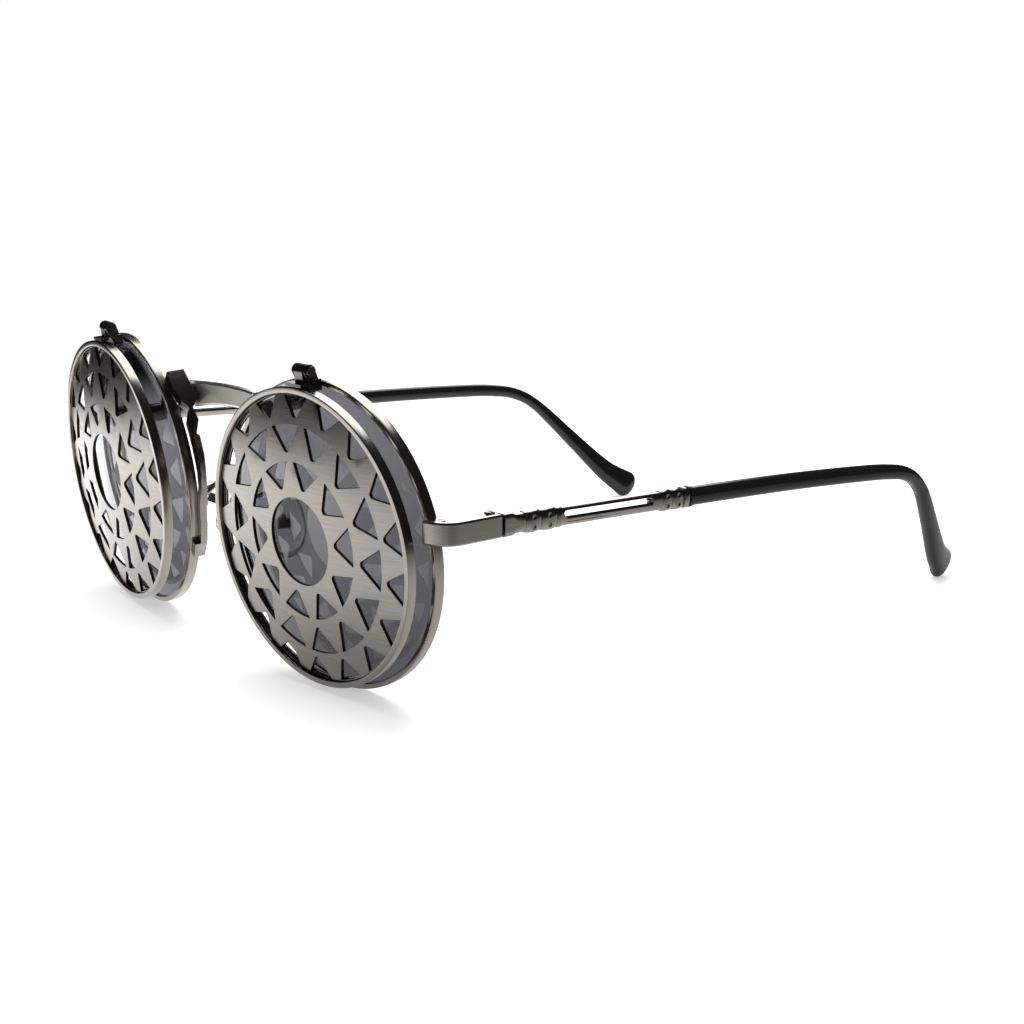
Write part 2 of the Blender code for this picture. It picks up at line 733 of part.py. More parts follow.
def band_section(angle, reach, front, back):
    """Four corners of a band beside the rim's wall, at an angle up from the nose side."""
    inner = RIM_RADIUS + SEAT_GAP
    nose = -cos(radians(angle))
    rise = sin(radians(angle))
    corners = ((inner, front), (inner + reach, front), (inner + reach, back), (inner, back))
    return [(radius * nose, radius * rise, -depth) for radius, depth in corners]


def build_bridge(frames, root, finish):
    """The bar between the rims, and the bands that carry it down their nose sides."""
    centre = rim_centre()
    crown = centre.z + RIM_RADIUS * sin(BAR_TOP_ANGLE)
    half = centre.x - RIM_RADIUS * cos(BAR_END_ANGLE)
    corner = rim_matrix(1) @ Vector((-RIM_RADIUS * cos(BAR_END_ANGLE), RIM_RADIUS * sin(BAR_TOP_ANGLE), 0))
    front_end = corner.y + BAND_TOP_BACK - BAR_LAP
    rings = []
    for step in range(BAR_STEPS + 1):
        share = 2 * step / BAR_STEPS - 1
        front = front_end + BAR_BOW * (1 - share**2)
        top = crown - BAR_ARCH * share**2
        crease = top - between(BAR_CREASE_DROP, BAR_CREASE_END_DROP, share**2)
        under = crease - BAR_EDGE_HEIGHT
        back = front + BAR_THICKNESS
        x = half * share
        rings.append(
            (
                (x, front, crease),
                (x, front, top - BAR_CHAMFER),
                (x, front + BAR_CHAMFER, top),
                (x, back - BAR_CHAMFER, top),
                (x, back, top - BAR_CHAMFER),
                (x, back, under + BAR_CHAMFER),
                (x, back - BAR_CHAMFER, under),
                (x, front + BAR_EDGE_SLANT, under),
            )
        )
    bridge = put("bridge", lofted(rings), finish, root)
    for side, frame in frames.items():
        band = [
            band_section(angle, between(BAND_FOOT_REACH, BAND_REACH, share), front, back)
            for angle, share, front, back in BAND_STATIONS
        ]
        tab = [
            band_section(angle, BAND_FOOT_REACH, BAND_TAB_FRONT, BAND_FOOT_BACK - 2 * BAND_STEP)
            for angle in BAND_TAB_ANGLES
        ]
        combine(bridge, helper(f"band_{side_name(side)}", lofted(band), finish, frame, side), "UNION")
        combine(bridge, helper(f"band_tab_{side_name(side)}", lofted(tab), finish, frame, side), "UNION")
    return bridge


def strap_outline():
    """The strap seen from above: its outer face turns a rounded corner, one thickness from its inner face."""
    outermost = rim_side(1)
    run = Vector((STRAP_OUT, STRAP_SLANT))
    corner = Vector((outermost.x + STRAP_CLEAR, outermost.y - STRAP_FRONT)) + run
    first = run.normalized()
    start = corner - run - STRAP_LAP * first
    end = strap_end()
    outer = rounded_path(start, corner, end, STRAP_BEND_RADIUS)
    last = (end - corner).normalized()
    inner_start = start + STRAP_THICKNESS * Vector((-first.y, first.x))
    inner_end = end + STRAP_THICKNESS * Vector((-last.y, last.x))
    inner_corner = crossing(inner_start, first, inner_end, last)
    inner = rounded_path(inner_start, inner_corner, inner_end, STRAP_BEND_RADIUS - STRAP_THICKNESS)
    return outer, inner


def crossing(a, along_a, b, along_b):
    across = along_a.x * along_b.y - along_a.y * along_b.x
    gap = b - a
    return a + along_a * ((gap.x * along_b.y - gap.y * along_b.x) / across)


def rounded_path(start, corner, end, radius, steps=5):
    """Two straight runs with an arc between them."""
    first = (corner - start).normalized()
    last = (end - corner).normalized()
    turn = acos(first.dot(last))
    back = radius * sin(turn / 2) / cos(turn / 2)
    sense = copysign(1, first.x * last.y - first.y * last.x)
    centre = corner - first * back + sense * radius * Vector((-first.y, first.x))
    heading = corner - first * back - centre
    path = [start]
    for step in range(steps + 1):
        angle = sense * turn * step / steps
        path.append(
            centre
            + Vector(
                (
                    heading.x * cos(angle) - heading.y * sin(angle),
                    heading.x * sin(angle) + heading.y * cos(angle),
                )
            )
        )
    path.append(end)
    return path


def hinge_stack():
    """Heights of the three knuckles, from the lowest: start and end of each."""
    centre = strap_middle()
    low = centre - STRAP_HEIGHT / 2 + HINGE_STEP
    high = centre + STRAP_HEIGHT / 2 - HINGE_STEP
    middle = (centre - HINGE_MIDDLE / 2, centre + HINGE_MIDDLE / 2)
    return (low, middle[0] - RUN_GAP), middle, (middle[1] + RUN_GAP, high)


def build_end_piece(side, root, finish):
    outer, inner = strap_outline()
    low = strap_middle() - STRAP_HEIGHT / 2
    high = strap_middle() + STRAP_HEIGHT / 2
    strap = put(f"end_piece_{side_name(side)}", prism(outer + inner[::-1], low, high), finish, root, side)
    soften(strap, STRAP_CHAMFER)
    axis = hinge_point()
    across = (axis.x, axis.y)
    end = strap_end()
    lower, _, upper = hinge_stack()
    for name, (start, stop) in (("lower", lower), ("upper", upper)):
        knuckle = helper(f"end_{name}_knuckle", disc(HINGE_RADIUS, start, stop, across), finish, root, side)
        combine(strap, knuckle, "UNION")
        leaf = box(
            (axis.x, axis.y - HINGE_RADIUS, start),
            (end.x - STRAP_THICKNESS + JOIN_LAP, end.y - RUN_GAP, stop),
        )
        combine(strap, helper(f"end_{name}_leaf", leaf, finish, root, side), "UNION")
    bore = disc(HINGE_PIN_RADIUS + BORE_GAP, low - OVERRUN, high + OVERRUN, across, PIN_SIDES)
    combine(strap, helper("end_bore", bore, finish, root, side), "DIFFERENCE")
    screw = disc(HINGE_PIN_RADIUS, lower[0] - SEAT_GAP, upper[1] + HINGE_HEAD, across, PIN_SIDES)
    screw = put(f"temple_screw_{side_name(side)}", screw, finish, root, side)
    head_low = upper[1] + SEAT_GAP
    head = disc(HINGE_HEAD_RADIUS, head_low, head_low + HINGE_HEAD, across, HEAD_SIDES)
    combine(screw, helper("temple_screw_head", head, finish, root, side), "UNION")
    slot = box(
        (axis.x - HINGE_HEAD_RADIUS - OVERRUN, axis.y - HINGE_SLOT / 2, head_low + HINGE_HEAD / 2),
        (axis.x + HINGE_HEAD_RADIUS + OVERRUN, axis.y + HINGE_SLOT / 2, head_low + HINGE_HEAD + OVERRUN),
    )
    combine(screw, helper("temple_screw_slot", slot, finish, root, side), "DIFFERENCE")


def between(low, high, share):
    return low + (high - low) * min(max(share, 0), 1)


def bead_swell(y, start, pitch, beads):
    """0 in the notches and 1 on the crowns of a group of beads that starts at y = start."""
    share = (y - start) / pitch
    if share < 0 or share > beads:
        return None
    return sqrt(abs(sin(pi * share)))


def arm_halves(y):
    """Half thickness and half height of the forged arm at a distance back."""
    if y <= arm_start() + ARM_BLOCK:
        return STRAP_THICKNESS / 2 + ARM_THICKNESS / 4, STRAP_HEIGHT / 2
    rib = bead_swell(y, rib_start(), RIB_LENGTH, 1)
    swells = [rib * RIB_SWELL_SHARE] if rib is not None else []
    swells += [bead_swell(y, start, pitch, BEADS) for start, pitch in bead_groups()]
    swells = [swell for swell in swells if swell is not None]
    if swells:
        swell = max(swells)
        return (
            between(ARM_NECK_THICKNESS, ARM_BEAD_THICKNESS, swell) / 2,
            between(ARM_NECK_HEIGHT, ARM_BEAD_HEIGHT, swell) / 2,
        )
    if collar_start() <= y <= collar_end():
        return COLLAR_THICKNESS / 2, COLLAR_HEIGHT / 2
    return ARM_NECK_THICKNESS / 2, ARM_NECK_HEIGHT / 2


def arm_stations():
    """Distances back at which the forged arm's section is drawn."""
    start = arm_start()
    stations = [start, start + ARM_BLOCK, start + ARM_BLOCK + ARM_THICKNESS / 2]
    for group, pitch in bead_groups():
        stations += [group + pitch * step / BEAD_STEPS for step in range(BEADS * BEAD_STEPS + 1)]
    stations += [rib_start() + RIB_LENGTH * step / RIB_STEPS for step in range(1, RIB_STEPS + 1)]
    stations += [slot_start() + SLOT_HEIGHT, slot_start() + SLOT_LENGTH - SLOT_HEIGHT]
    stations += [collar_start() - RIM_CORNER, collar_start(), collar_end()]
    return sorted(stations)


def route_at(route, y):
    """The point of a temple's centre line at a distance back."""
    for a, b in zip(route, route[1:]):
        if a.y <= y <= b.y:
            return a.lerp(b, (y - a.y) / (b.y - a.y))
    return (route[0] if y < route[0].y else route[-1]).copy()


def slot_outline(route):
    """The arm's slot in Y and Z, along the arm's own slope, with round ends."""
    radius = SLOT_HEIGHT / 2
    start = route_at(route, slot_start())
    end = route_at(route, slot_start() + SLOT_LENGTH)
    outline = []
    for point, way in ((end, 1), (start, -1)):
        for step in range(ARC_POINTS):
            angle = pi * (step / (ARC_POINTS - 1) - 0.5)
            outline.append(
                (point.y + way * radius * (cos(angle) - 1), point.z + SLOT_RISE + way * radius * sin(angle))
            )
    return outline


def build_temple(side, pivot, finish):
    route = temple_route(4)
    axis = hinge_point()
    shift = Matrix.Translation((-side * axis.x, -axis.y, -axis.z))
    points = [route_at(route, y) for y in arm_stations()]
    points[1].z = axis.z
    body = swept(points, lambda index, point: arm_halves(point.y), ARM_SQUARENESS, ARM_SIDES)
    arm = put(f"temple_{side_name(side)}", body, finish, pivot, side, shift)
    core_points = [route_at(route, collar_end() - JOIN_LAP)]
    core_end = collar_end() + CORE_LENGTH
    core_points += [point for point in route if collar_end() + JOIN_LAP < point.y < core_end]
    core = helper("core", tube(core_points, CORE_RADIUS, CORE_SIDES), finish, pivot, side, shift)
    combine(arm, core, "UNION")
    middle = route_at(route, slot_start() + SLOT_LENGTH / 2)
    slot = prism(slot_outline(route), middle.x - ARM_THICKNESS, middle.x + ARM_THICKNESS)
    combine(arm, helper("slot", turned_over(slot, ALONG_X), finish, pivot, side, shift), "DIFFERENCE")
    # Two dimples in the outer face of each bead
    for group, pitch in bead_groups():
        for bead in range(BEADS):
            for hand in (1, -1):
                place = route_at(route, group + pitch * (bead + 0.5))
                low = place.x + ARM_BEAD_THICKNESS / 2 - DIMPLE_DEPTH
                across = (place.y, place.z + hand * DIMPLE_RISE)
                dimple = turned_over(disc(DIMPLE_RADIUS, low, low + OVERRUN, across, DIMPLE_SIDES), ALONG_X)
                combine(arm, helper("dimple", dimple, finish, pivot, side, shift), "DIFFERENCE")
    # The middle knuckle, and the leaf that joins it to the arm's block
    _, (low, high), _ = hinge_stack()
    knuckle = disc(HINGE_RADIUS, low, high, (axis.x, axis.y))
    combine(arm, helper("temple_knuckle", knuckle, finish, pivot, side, shift), "UNION")
    leaf = box(
        (axis.x - HINGE_LEAF, axis.y, low),
        (axis.x + HINGE_RADIUS + JOIN_LAP, arm_start() + ARM_BLOCK, high),
    )
    trim = box(
        (axis.x + HINGE_RADIUS - RUN_GAP, axis.y - HINGE_RADIUS - OVERRUN, low - OVERRUN),
        (axis.x + HINGE_RADIUS + OVERRUN, arm_start(), high + OVERRUN),
    )
    leaf = helper("temple_leaf", leaf, finish, pivot, side, shift)
    combine(leaf, helper("temple_leaf_trim", trim, finish, pivot, side, shift), "DIFFERENCE")
    combine(arm, leaf, "UNION")
    bore = disc(HINGE_PIN_RADIUS + BORE_GAP, low - OVERRUN, high + OVERRUN, (axis.x, axis.y), PIN_SIDES)
    combine(arm, helper("temple_bore", bore, finish, pivot, side, shift), "DIFFERENCE")


def tip_halves(index, last):
    """Half thickness and half height of the sleeve, by its place along the route."""
    share = index / last
    if index == 0:
        return TIP_LIP_THICKNESS / 2, TIP_LIP_HEIGHT / 2
    if share < BEND_SHARE:
        return TIP_THICKNESS / 2, between(TIP_HEIGHT, TIP_BEND_HEIGHT, share / BEND_SHARE) / 2
    swell = (share - BEND_SHARE) / (1 - BEND_SHARE)
    close = 1 if index <= last else TIP_NOSE_SHARES[index - last - 1][0]
    return (
        close * between(TIP_BEND_THICKNESS, TIP_BULB_THICKNESS, swell) / 2,
        close * between(TIP_BEND_HEIGHT, TIP_BULB_HEIGHT, swell**2) / 2,
    )


def build_tip(side, pivot, finish):
    route = temple_route(2)
    axis = hinge_point()
    shift = Matrix.Translation((-side * axis.x, -axis.y, -axis.z))
    mouth = collar_end() + TIP_GAP
    start = route_at(route, mouth)
    points = [start, route_at(route, mouth + CORE_RADIUS)]
    points += [point for point in route if point.y > mouth + 2 * CORE_RADIUS]
    last = len(points) - 1
    onward = (points[-1] - points[-2]).normalized()
    points += [points[-1] + TIP_NOSE * place * onward for _, place in TIP_NOSE_SHARES]
    rings = swept(points, lambda index, point: tip_halves(index, last), TIP_SQUARENESS, TIP_SIDES)
    tip = put(f"temple_tip_{side_name(side)}", rings, finish, pivot, side, shift)
    bore = [start - Vector((0, OVERRUN, 0)), start]
    bottom = collar_end() + CORE_LENGTH + TIP_BORE_SPARE
    bore += [point for point in temple_route(4) if start.y < point.y < bottom]
    bore = tube(bore, CORE_RADIUS + SEAT_GAP, CORE_SIDES)
    combine(tip, helper("tip_bore", bore, finish, pivot, side, shift), "DIFFERENCE")


def pad_matrix(side):
    """The place of a nose pad: its X points out of its face to the nose, its Z up its length."""
    x, y, z = rim_side(-1)
    turn = Matrix.Rotation(side * -PAD_SPLAY, 4, "Z")
    tilt = Matrix.Rotation(side * -PAD_TILT, 4, "Y")
    return Matrix.Translation((side * (x + PAD_OUT), y + PAD_BACK, z - PAD_DROP)) @ turn @ tilt


def build_pad(side, root, finish, pad_finish):
    place = empty(f"pad_pivot_{side_name(side)}", pad_matrix(side), root)
    rings = []
    for share, depth in PAD_SHARES:
        ring = []
        for angle in angles_round(PAD_SIDES):
            width = PAD_HALF_WIDTH * share * cos(angle) * (1 - PAD_TAPER_SHARE * sin(angle))
            ring.append((-depth * PAD_THICKNESS, width, PAD_HALF_HEIGHT * share * sin(angle)))
        rings.append(ring)
    pad = put(f"nose_pad_{side_name(side)}", lofted(rings), pad_finish, place, side)
    centre = PAD_THICKNESS / 2 + SEAT_GAP + PAD_TAB_RADIUS + PAD_BOX_WALL / 2
    across = turned_over(disc(PAD_TAB_RADIUS, -PAD_TAB_HALF, PAD_TAB_HALF, (0, centre)), PAD_PIN_AXES)
    combine(pad, helper("pad_tab", across, pad_finish, place, side), "UNION")
    stem = box((0, -PAD_TAB_HALF, -PAD_TAB_RADIUS), (centre, PAD_TAB_HALF, PAD_TAB_RADIUS))
    combine(pad, helper("pad_stem", stem, pad_finish, place, side), "UNION")
    bore = disc(PAD_PIN_RADIUS + BORE_GAP, -PAD_TAB_HALF - OVERRUN, PAD_TAB_HALF + OVERRUN, (0, centre), PIN_SIDES)
    bore = helper("pad_bore", turned_over(bore, PAD_PIN_AXES), finish, place, side)
    combine(pad, bore, "DIFFERENCE")
    # The box round the tab, soldered to the wire
    half = PAD_TAB_HALF + RUN_GAP + PAD_BOX_WALL
    back = centre + PAD_TAB_RADIUS + RUN_GAP + PAD_BOX_BACK
    shell = box((centre - PAD_TAB_RADIUS, -half, -PAD_TAB_RADIUS), (back, half, PAD_TAB_RADIUS))
    shell = helper("pad_box", shell, finish, place, side)
    hollow = box(
        (0, -PAD_TAB_HALF - RUN_GAP, -PAD_TAB_RADIUS - OVERRUN),
        (back - PAD_BOX_BACK, PAD_TAB_HALF + RUN_GAP, PAD_TAB_RADIUS + OVERRUN),
    )
    hollow = helper("pad_hollow", hollow, finish, place, side)
    combine(shell, hollow, "DIFFERENCE")
    approach = pad_matrix(1) @ Vector((back + PAD_WIRE_RUN, 0, PAD_WIRE_RUN / 2))
    landing = pad_matrix(1) @ Vector((back - PAD_BOX_BACK / 2, 0, 0))
    band = rim_side(-1) + Vector((0, PAD_WIRE_START, 0))
    loop = [
        band + Vector((PAD_LOOP_OUT * out, PAD_LOOP_BACK * back, PAD_LOOP_RISE * rise))
        for out, back, rise in PAD_LOOP_SHARES
    ]
    wire = smooth_route(loop + [approach, landing], 2)
    wire = tube(wire, PAD_ARM_RADIUS, WIRE_SIDES, Vector((0, 0, 1)))
    arm = put(f"pad_arm_{side_name(side)}", wire, finish, root, side)
    combine(arm, shell, "UNION")
    pin_bore = disc(PAD_PIN_RADIUS + BORE_GAP, -half - OVERRUN, half + OVERRUN, (0, centre), PIN_SIDES)
    pin_bore = helper("pad_box_bore", turned_over(pin_bore, PAD_PIN_AXES), finish, place, side)
    combine(arm, pin_bore, "DIFFERENCE")
    pin = disc(PAD_PIN_RADIUS, -half, half + PAD_HEAD / 2, (0, centre), PIN_SIDES)
    pin = put(f"pad_screw_{side_name(side)}", turned_over(pin, PAD_PIN_AXES), finish, place, side)
    head = disc(PAD_TAB_RADIUS - SEAT_GAP, half + SEAT_GAP, half + SEAT_GAP + PAD_HEAD, (0, centre), PIN_SIDES)
    combine(pin, helper("pad_head", turned_over(head, PAD_PIN_AXES), finish, place, side), "UNION")


# Axes that lay a prism's height along Y, with its outline in Z and X
PAD_PIN_AXES = Matrix(((0, 1, 0, 0), (0, 0, 1, 0), (1, 0, 0, 0), (0, 0, 0, 1)))


def side_name(side):
    return "left" if side > 0 else "right"


def main():
    for old in list(bpy.data.objects):
        bpy.data.objects.remove(old)
    metal = material("brushed_gunmetal", (0.33, 0.31, 0.29), 1.0, 0.32)
    plate_metal = material("brushed_plate", (0.36, 0.34, 0.32), 1.0, 0.38)
    dark_metal = material("polished_screw", (0.16, 0.15, 0.14), 1.0, 0.2)
    smoke = material("smoke_lens", (0.16, 0.16, 0.18), 0.0, 0.04, 0.75)
    black = material("black_acetate", (0.012, 0.012, 0.013), 0.0, 0.16)
    clear = material("clear_silicone", (0.85, 0.85, 0.84), 0.0, 0.2, 0.6, 0.6)
    root = empty("sunglasses", Matrix.Translation((0, -MIDDLE_BACK, 0)))
    frames = {}
    for side in (1, -1):
        name = side_name(side)
        frame = empty(f"rim_place_{name}", rim_matrix(side), root)
        frames[side] = frame
        build_rim(side, frame, metal)
        build_lens(side, frame, smoke)
        build_flip_base(side, frame, dark_metal)
        pivot = empty(f"flip_axis_{name}", Matrix.Translation(flip_axis()), frame)
        build_cover(side, pivot, metal, plate_metal)
        build_end_piece(side, root, metal)
        axis = hinge_point()
        hinge = empty(f"temple_axis_{name}", Matrix.Translation((side * axis.x, axis.y, axis.z)), root)
        build_temple(side, hinge, metal)
        build_tip(side, hinge, black)
        build_pad(side, root, dark_metal, clear)
    build_bridge(frames, root, metal)


main()
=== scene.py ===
"""The looks of the round sunglasses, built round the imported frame. Metres, +Z up, +X to the wearer's left."""

from math import acos, atan2, copysign, cos, hypot, pi, radians, sin, sqrt, tau

import bmesh
import bpy
from mathutils import Matrix, Vector
from mathutils.geometry import delaunay_2d_cdt


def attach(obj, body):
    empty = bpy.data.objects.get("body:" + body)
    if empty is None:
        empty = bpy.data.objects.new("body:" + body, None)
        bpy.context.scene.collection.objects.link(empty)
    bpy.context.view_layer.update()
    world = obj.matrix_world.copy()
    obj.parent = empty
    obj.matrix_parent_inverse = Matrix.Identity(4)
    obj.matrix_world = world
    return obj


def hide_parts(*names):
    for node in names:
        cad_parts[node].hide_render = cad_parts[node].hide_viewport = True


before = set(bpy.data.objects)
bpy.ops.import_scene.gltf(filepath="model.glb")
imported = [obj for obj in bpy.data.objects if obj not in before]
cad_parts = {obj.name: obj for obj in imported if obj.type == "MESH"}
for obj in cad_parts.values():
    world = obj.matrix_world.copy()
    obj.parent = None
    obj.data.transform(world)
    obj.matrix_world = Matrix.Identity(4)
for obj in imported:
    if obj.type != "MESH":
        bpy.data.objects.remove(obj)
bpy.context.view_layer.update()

MM = 0.001

# Sizes in millimetres, which follow the part's source. "Back" is from the plane of the lens centres
MIDDLE_BACK = 66.622
RIM_GAP = 16.4
WRAP = radians(6.0)
LEAN = radians(4.9)
RIM_RADIUS = 26.1
RIM_DEPTH = 1.9
RIM_WALL = 0.9
RIM_GROOVE = 0.5
SEAT_GAP = 0.15
# The split block that closes a rim, and the web that joins it on
CLOSING_RISE = 5.3
CLOSING_OUT = 1.1
CLOSING_BACK = 0.2
CLOSING_HALF = 1.7
CLOSING_RADIUS = 0.9
CLOSING_BORE = 0.45
WEB_REACH = 1.9
WEB_STEP = 0.2
WEB_LAP = 0.2
SPLIT_REACH = 3.8
SPLIT_HALF = 0.2
# Lens, cover ring and plate
LENS_DOME_RADIUS = 115.0
LENS_THICKNESS = 1.8
LENS_EDGE = 0.7
COVER_RADIUS = 25.0
COVER_BACK = 2.85
COVER_FRONT = 4.57
COVER_WALL = 1.0
COVER_LEDGE = 0.6
COVER_LIFT = 0.5
PLATE_THICKNESS = 0.6
PLATE_DOME_RADIUS = 138.0
PLATE_SINK = 0.5
EYE_RADIUS = 7.35
# Radius of a cut-out's blunt point
BLUNT = 0.7
# The cut-outs: how many, their inner and outer radius, the turn of their ring and the angle that each spans
CUTOUT_RINGS = (
    (10, 8.85, 13.1, radians(5.2), radians(28.8)),
    (14, 14.5, 19.05, radians(-5.0), radians(21.3)),
    (18, 20.1, 23.7, radians(10.0), radians(14.2)),
)
# The temple hinge: how far out and back it is, and how far its leaf reaches
STRAP_MIDDLE = 31.305
HINGE = (61.6, 12.128)
HINGE_HALF = 0.55
HINGE_RADIUS = 1.1
HINGE_BORE = 0.55
LEAF_IN = 0.9
LEAF_OUT = 1.5
LEAF_TRIM = 0.95
# The arm, at distances back from the plane of the lens centres
ARM_START = 13.228
ARM_BLOCK = 1.5
ARM_BLOCK_FADE = 0.95
# Half thickness and half height of the arm's forms
BLOCK_HALVES = (1.075, 1.85)
NECK_HALVES = (1.05, 1.55)
BEAD_HALVES = (1.4, 1.85)
COLLAR_EDGE_HALVES = (1.2, 1.6)
COLLAR_HALVES = (1.5, 1.8)
# How square the arm's section is at the strap and further back, and how far it takes to change
ARM_SQUARENESS = (0.35, 0.72)
ARM_ROUNDING = 2.5
CORE_RADIUS = 0.8
CORE_RUN = 40
CORE_LAP = 0.4
BEADS = 2
# Where each group of beads starts, and its pitch. The rib is like a single, lower bead
BEAD_GROUPS = ((17.328, 3.3), (47.228, 2.6))
RIB = (23.928, 1.3)
RIB_SWELL = 0.6
DIMPLE_RADIUS = 0.42
DIMPLE_RISE = 0.8
DIMPLE_FLOOR = 1.1
SLOT = (25.528, 45.828)
# The slot's lower edge is 0.25 mm higher than in the solid
SLOT_HEIGHT = 0.95
SLOT_RISE = 0.525
COLLAR = (52.628, 53.728)
COLLAR_EDGE = 0.25
TEMPLE_ROUTE = (
    (63.100, 13.228, 31.305),
    (62.400, 30.230, 30.811),
    (61.299, 55.233, 30.071),
    (61.000, 80.223, 29.333),
    (60.950, 100.230, 28.346),
    (60.606, 107.479, 27.617),
    (60.247, 111.272, 26.894),
    (59.560, 114.715, 25.518),
    (58.765, 117.607, 23.589),
    (57.731, 120.562, 20.866),
    (54.550, 127.060, 13.719),
    (51.232, 133.533, 6.769),
    (48.900, 138.428, 2.940),
)
TIP_GAP = 0.2
# Distance from the tip's mouth, half thickness and half height of its lip
TIP_LIP = ((0.0, 1.45, 1.65), (0.06, 1.6, 1.8), (0.2, 1.6, 1.8), (0.7, 1.6, 1.8))
LIP_END = 0.8
SLEEVE_START = 1.6
# Distance back, half thickness and half height of the sleeve
TIP_SECTIONS = (
    (53.93, 1.45, 1.620),
    (100.2, 1.45, 1.490),
    (107.5, 1.44, 1.428),
    (111.3, 1.42, 1.364),
    (116.2, 1.40, 1.270),
    (118.9, 1.39, 1.300),
    (120.6, 1.41, 1.409),
    (123.6, 1.46, 1.569),
    (127.1, 1.51, 1.785),
    (130.4, 1.56, 2.056),
    (133.5, 1.61, 2.382),
    (136.1, 1.65, 2.763),
    (138.43, 1.70, 3.200),
)
TIP_NOSE = 2.4
TIP_END_SHARE = 0.02
TIP_SQUARENESS = 0.85
PAD_SPLAY = radians(32.0)
PAD_TILT = radians(14.0)
PAD_OUT = 2.3
PAD_BACK = 9.5
PAD_DROP = 3.2
# The pads are a little smaller than their solids, so that they clear their wires when they rock
PAD_HALF_WIDTH = 3.5
PAD_HALF_HEIGHT = 6.05
PAD_THICKNESS = 1.66
PAD_TAPER = 0.18
PAD_TAB_OUT = 2.1
PAD_TAB_RADIUS = 0.9
PAD_TAB_HALF = 0.4
PAD_BORE = 0.45
# Rows of a pad: the share of its outline, and of its thickness out from the middle
PAD_ROWS = (
    (0.45, -0.5),
    (0.72, -0.48),
    (0.88, -0.42),
    (0.97, -0.3),
    (1.0, -0.15),
    (1.0, 0.05),
    (0.96, 0.22),
    (0.87, 0.36),
    (0.7, 0.45),
    (0.45, 0.5),
)

# Forms that only the scene has
RIM_CROWN = 0.04
RIM_CORNER = 0.14
COVER_CORNER = 0.16
EASING_INSET = 0.5
EASING_OUT = 1.05
EASING_HALVES = (0.34, 0.44)
GROOVE_INSET = 0.4
GROOVE_LOW = 0.93
GROOVE_HIGH = 0.80
GROOVE_FLOOR = 0.93
# The bridge's bar leans more than the fronts do, near its top and short of its ends. In front it is satin, and
# its colour is painted lighter there as painted light
BAR_SPAN = 12
BAR_LEAN = 2 * LEAN
BAR_LEAN_DEPTH = 7
BAR_LEAN_END = 13
BAR_LEAN_FADE = 2.5
BAR_PAINTED_FACE_DEPTH = 5
BAR_PAINTED_FACE_END = 13.5
BAR_PAINTED_FACING = -0.6

# How finely round forms are divided
RING_STEPS = 180
EYE_STEPS = 96
CUTOUT_STEPS = 8
CORNER_STEPS = 4
LENS_ROWS = 14
LENS_STEPS = 120
# Inner points of a plate, in rings 1 mm apart, which keep its dome round
FILL_RINGS = range(9, 24)
FILL_PER_RING = 5
FILL_OFFSET = 0.37
ROUTE_STEPS = 12
ARM_SIDES = 48
BLOCK_STEPS = 9
BLOCK_PITCH = 0.12
BEAD_STEPS = 16
RIB_STEPS = 10
SLOT_STEPS = 12
TIP_ROUTE_STEPS = 10
TIP_SIDES = 40
NOSE_STEPS = 10
PAD_STEPS = 56

# Cutters reach past what they cut
OVERRUN = 2
REACH = 3
FAR = 9
SHARP_ANGLE = 35.0
UV_SLANT = 0.3
# The largest share of a side that a rounded corner takes
CORNER_SHARE = 0.45
# Points closer than this are one, in millimetres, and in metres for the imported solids
WELD = 0.0001
PACKED_WELD = 0.000002
FLAT_ANGLE = radians(1.0)


def side_name(side):
    return "left" if side > 0 else "right"


def rim_matrix(side):
    """The place of a rim, in millimetres: X to the left, Y up, Z straight out of the lens."""
    turn = Matrix.Rotation(side * WRAP, 4, "Z")
    stand = Matrix.Rotation(pi / 2 + LEAN, 4, "X")
    place = Matrix.Translation((side * (RIM_RADIUS + RIM_GAP / 2), -MIDDLE_BACK, RIM_RADIUS * cos(LEAN)))
    return place @ turn @ stand


def mirrored(side):
    return Matrix.Scale(side, 4, (1, 0, 0))


IN_PLACE = Matrix.Translation((0, -MIDDLE_BACK, 0))
ALONG_X = Matrix(((0, 0, 1, 0), (1, 0, 0, 0), (0, 1, 0, 0), (0, 0, 0, 1)))
ALONG_Y = Matrix(((0, 1, 0, 0), (0, 0, 1, 0), (1, 0, 0, 0), (0, 0, 0, 1)))


# Shader nodes


def shader_of(name, **values):
    made = bpy.data.materials.new(name)
    made.use_nodes = True
    shader = made.node_tree.nodes["Principled BSDF"]
    for key, value in values.items():
        shader.inputs[key.replace("_", " ")].default_value = value
    return made, made.node_tree, shader


def add(tree, kind, **settings):
    node = tree.nodes.new(kind)
    for key, value in settings.items():
        if key in node.inputs:
            node.inputs[key].default_value = value
        else:
            setattr(node, key, value)
    return node


def math_node(tree, operation, first, second):
    """A math node on two sockets or numbers."""
    node = add(tree, "ShaderNodeMath", operation=operation)
    for socket, value in zip(node.inputs, (first, second)):
        if isinstance(value, (int, float)):
            socket.default_value = value
        else:
            tree.links.new(value, socket)
    return node.outputs["Value"]


def noise(tree, place, **values):
    node = add(tree, "ShaderNodeTexNoise", **values)
    tree.links.new(place, node.inputs["Vector"])
    return node.outputs["Fac"]


def own_noise(tree, **values):
    """Noise placed by the object's own coordinates."""
    return noise(tree, add(tree, "ShaderNodeTexCoord").outputs["Object"], **values)


def tone(tree, share, shader, low, high):
    """Colours a shader between two (position, colour) stops."""
    node = add(tree, "ShaderNodeValToRGB")
    for stop, (position, colour) in zip(node.color_ramp.elements, (low, high)):
        stop.position = position
        stop.color = (*colour, 1.0)
    tree.links.new(share, node.inputs["Fac"])
    tree.links.new(node.outputs["Color"], shader.inputs["Base Color"])


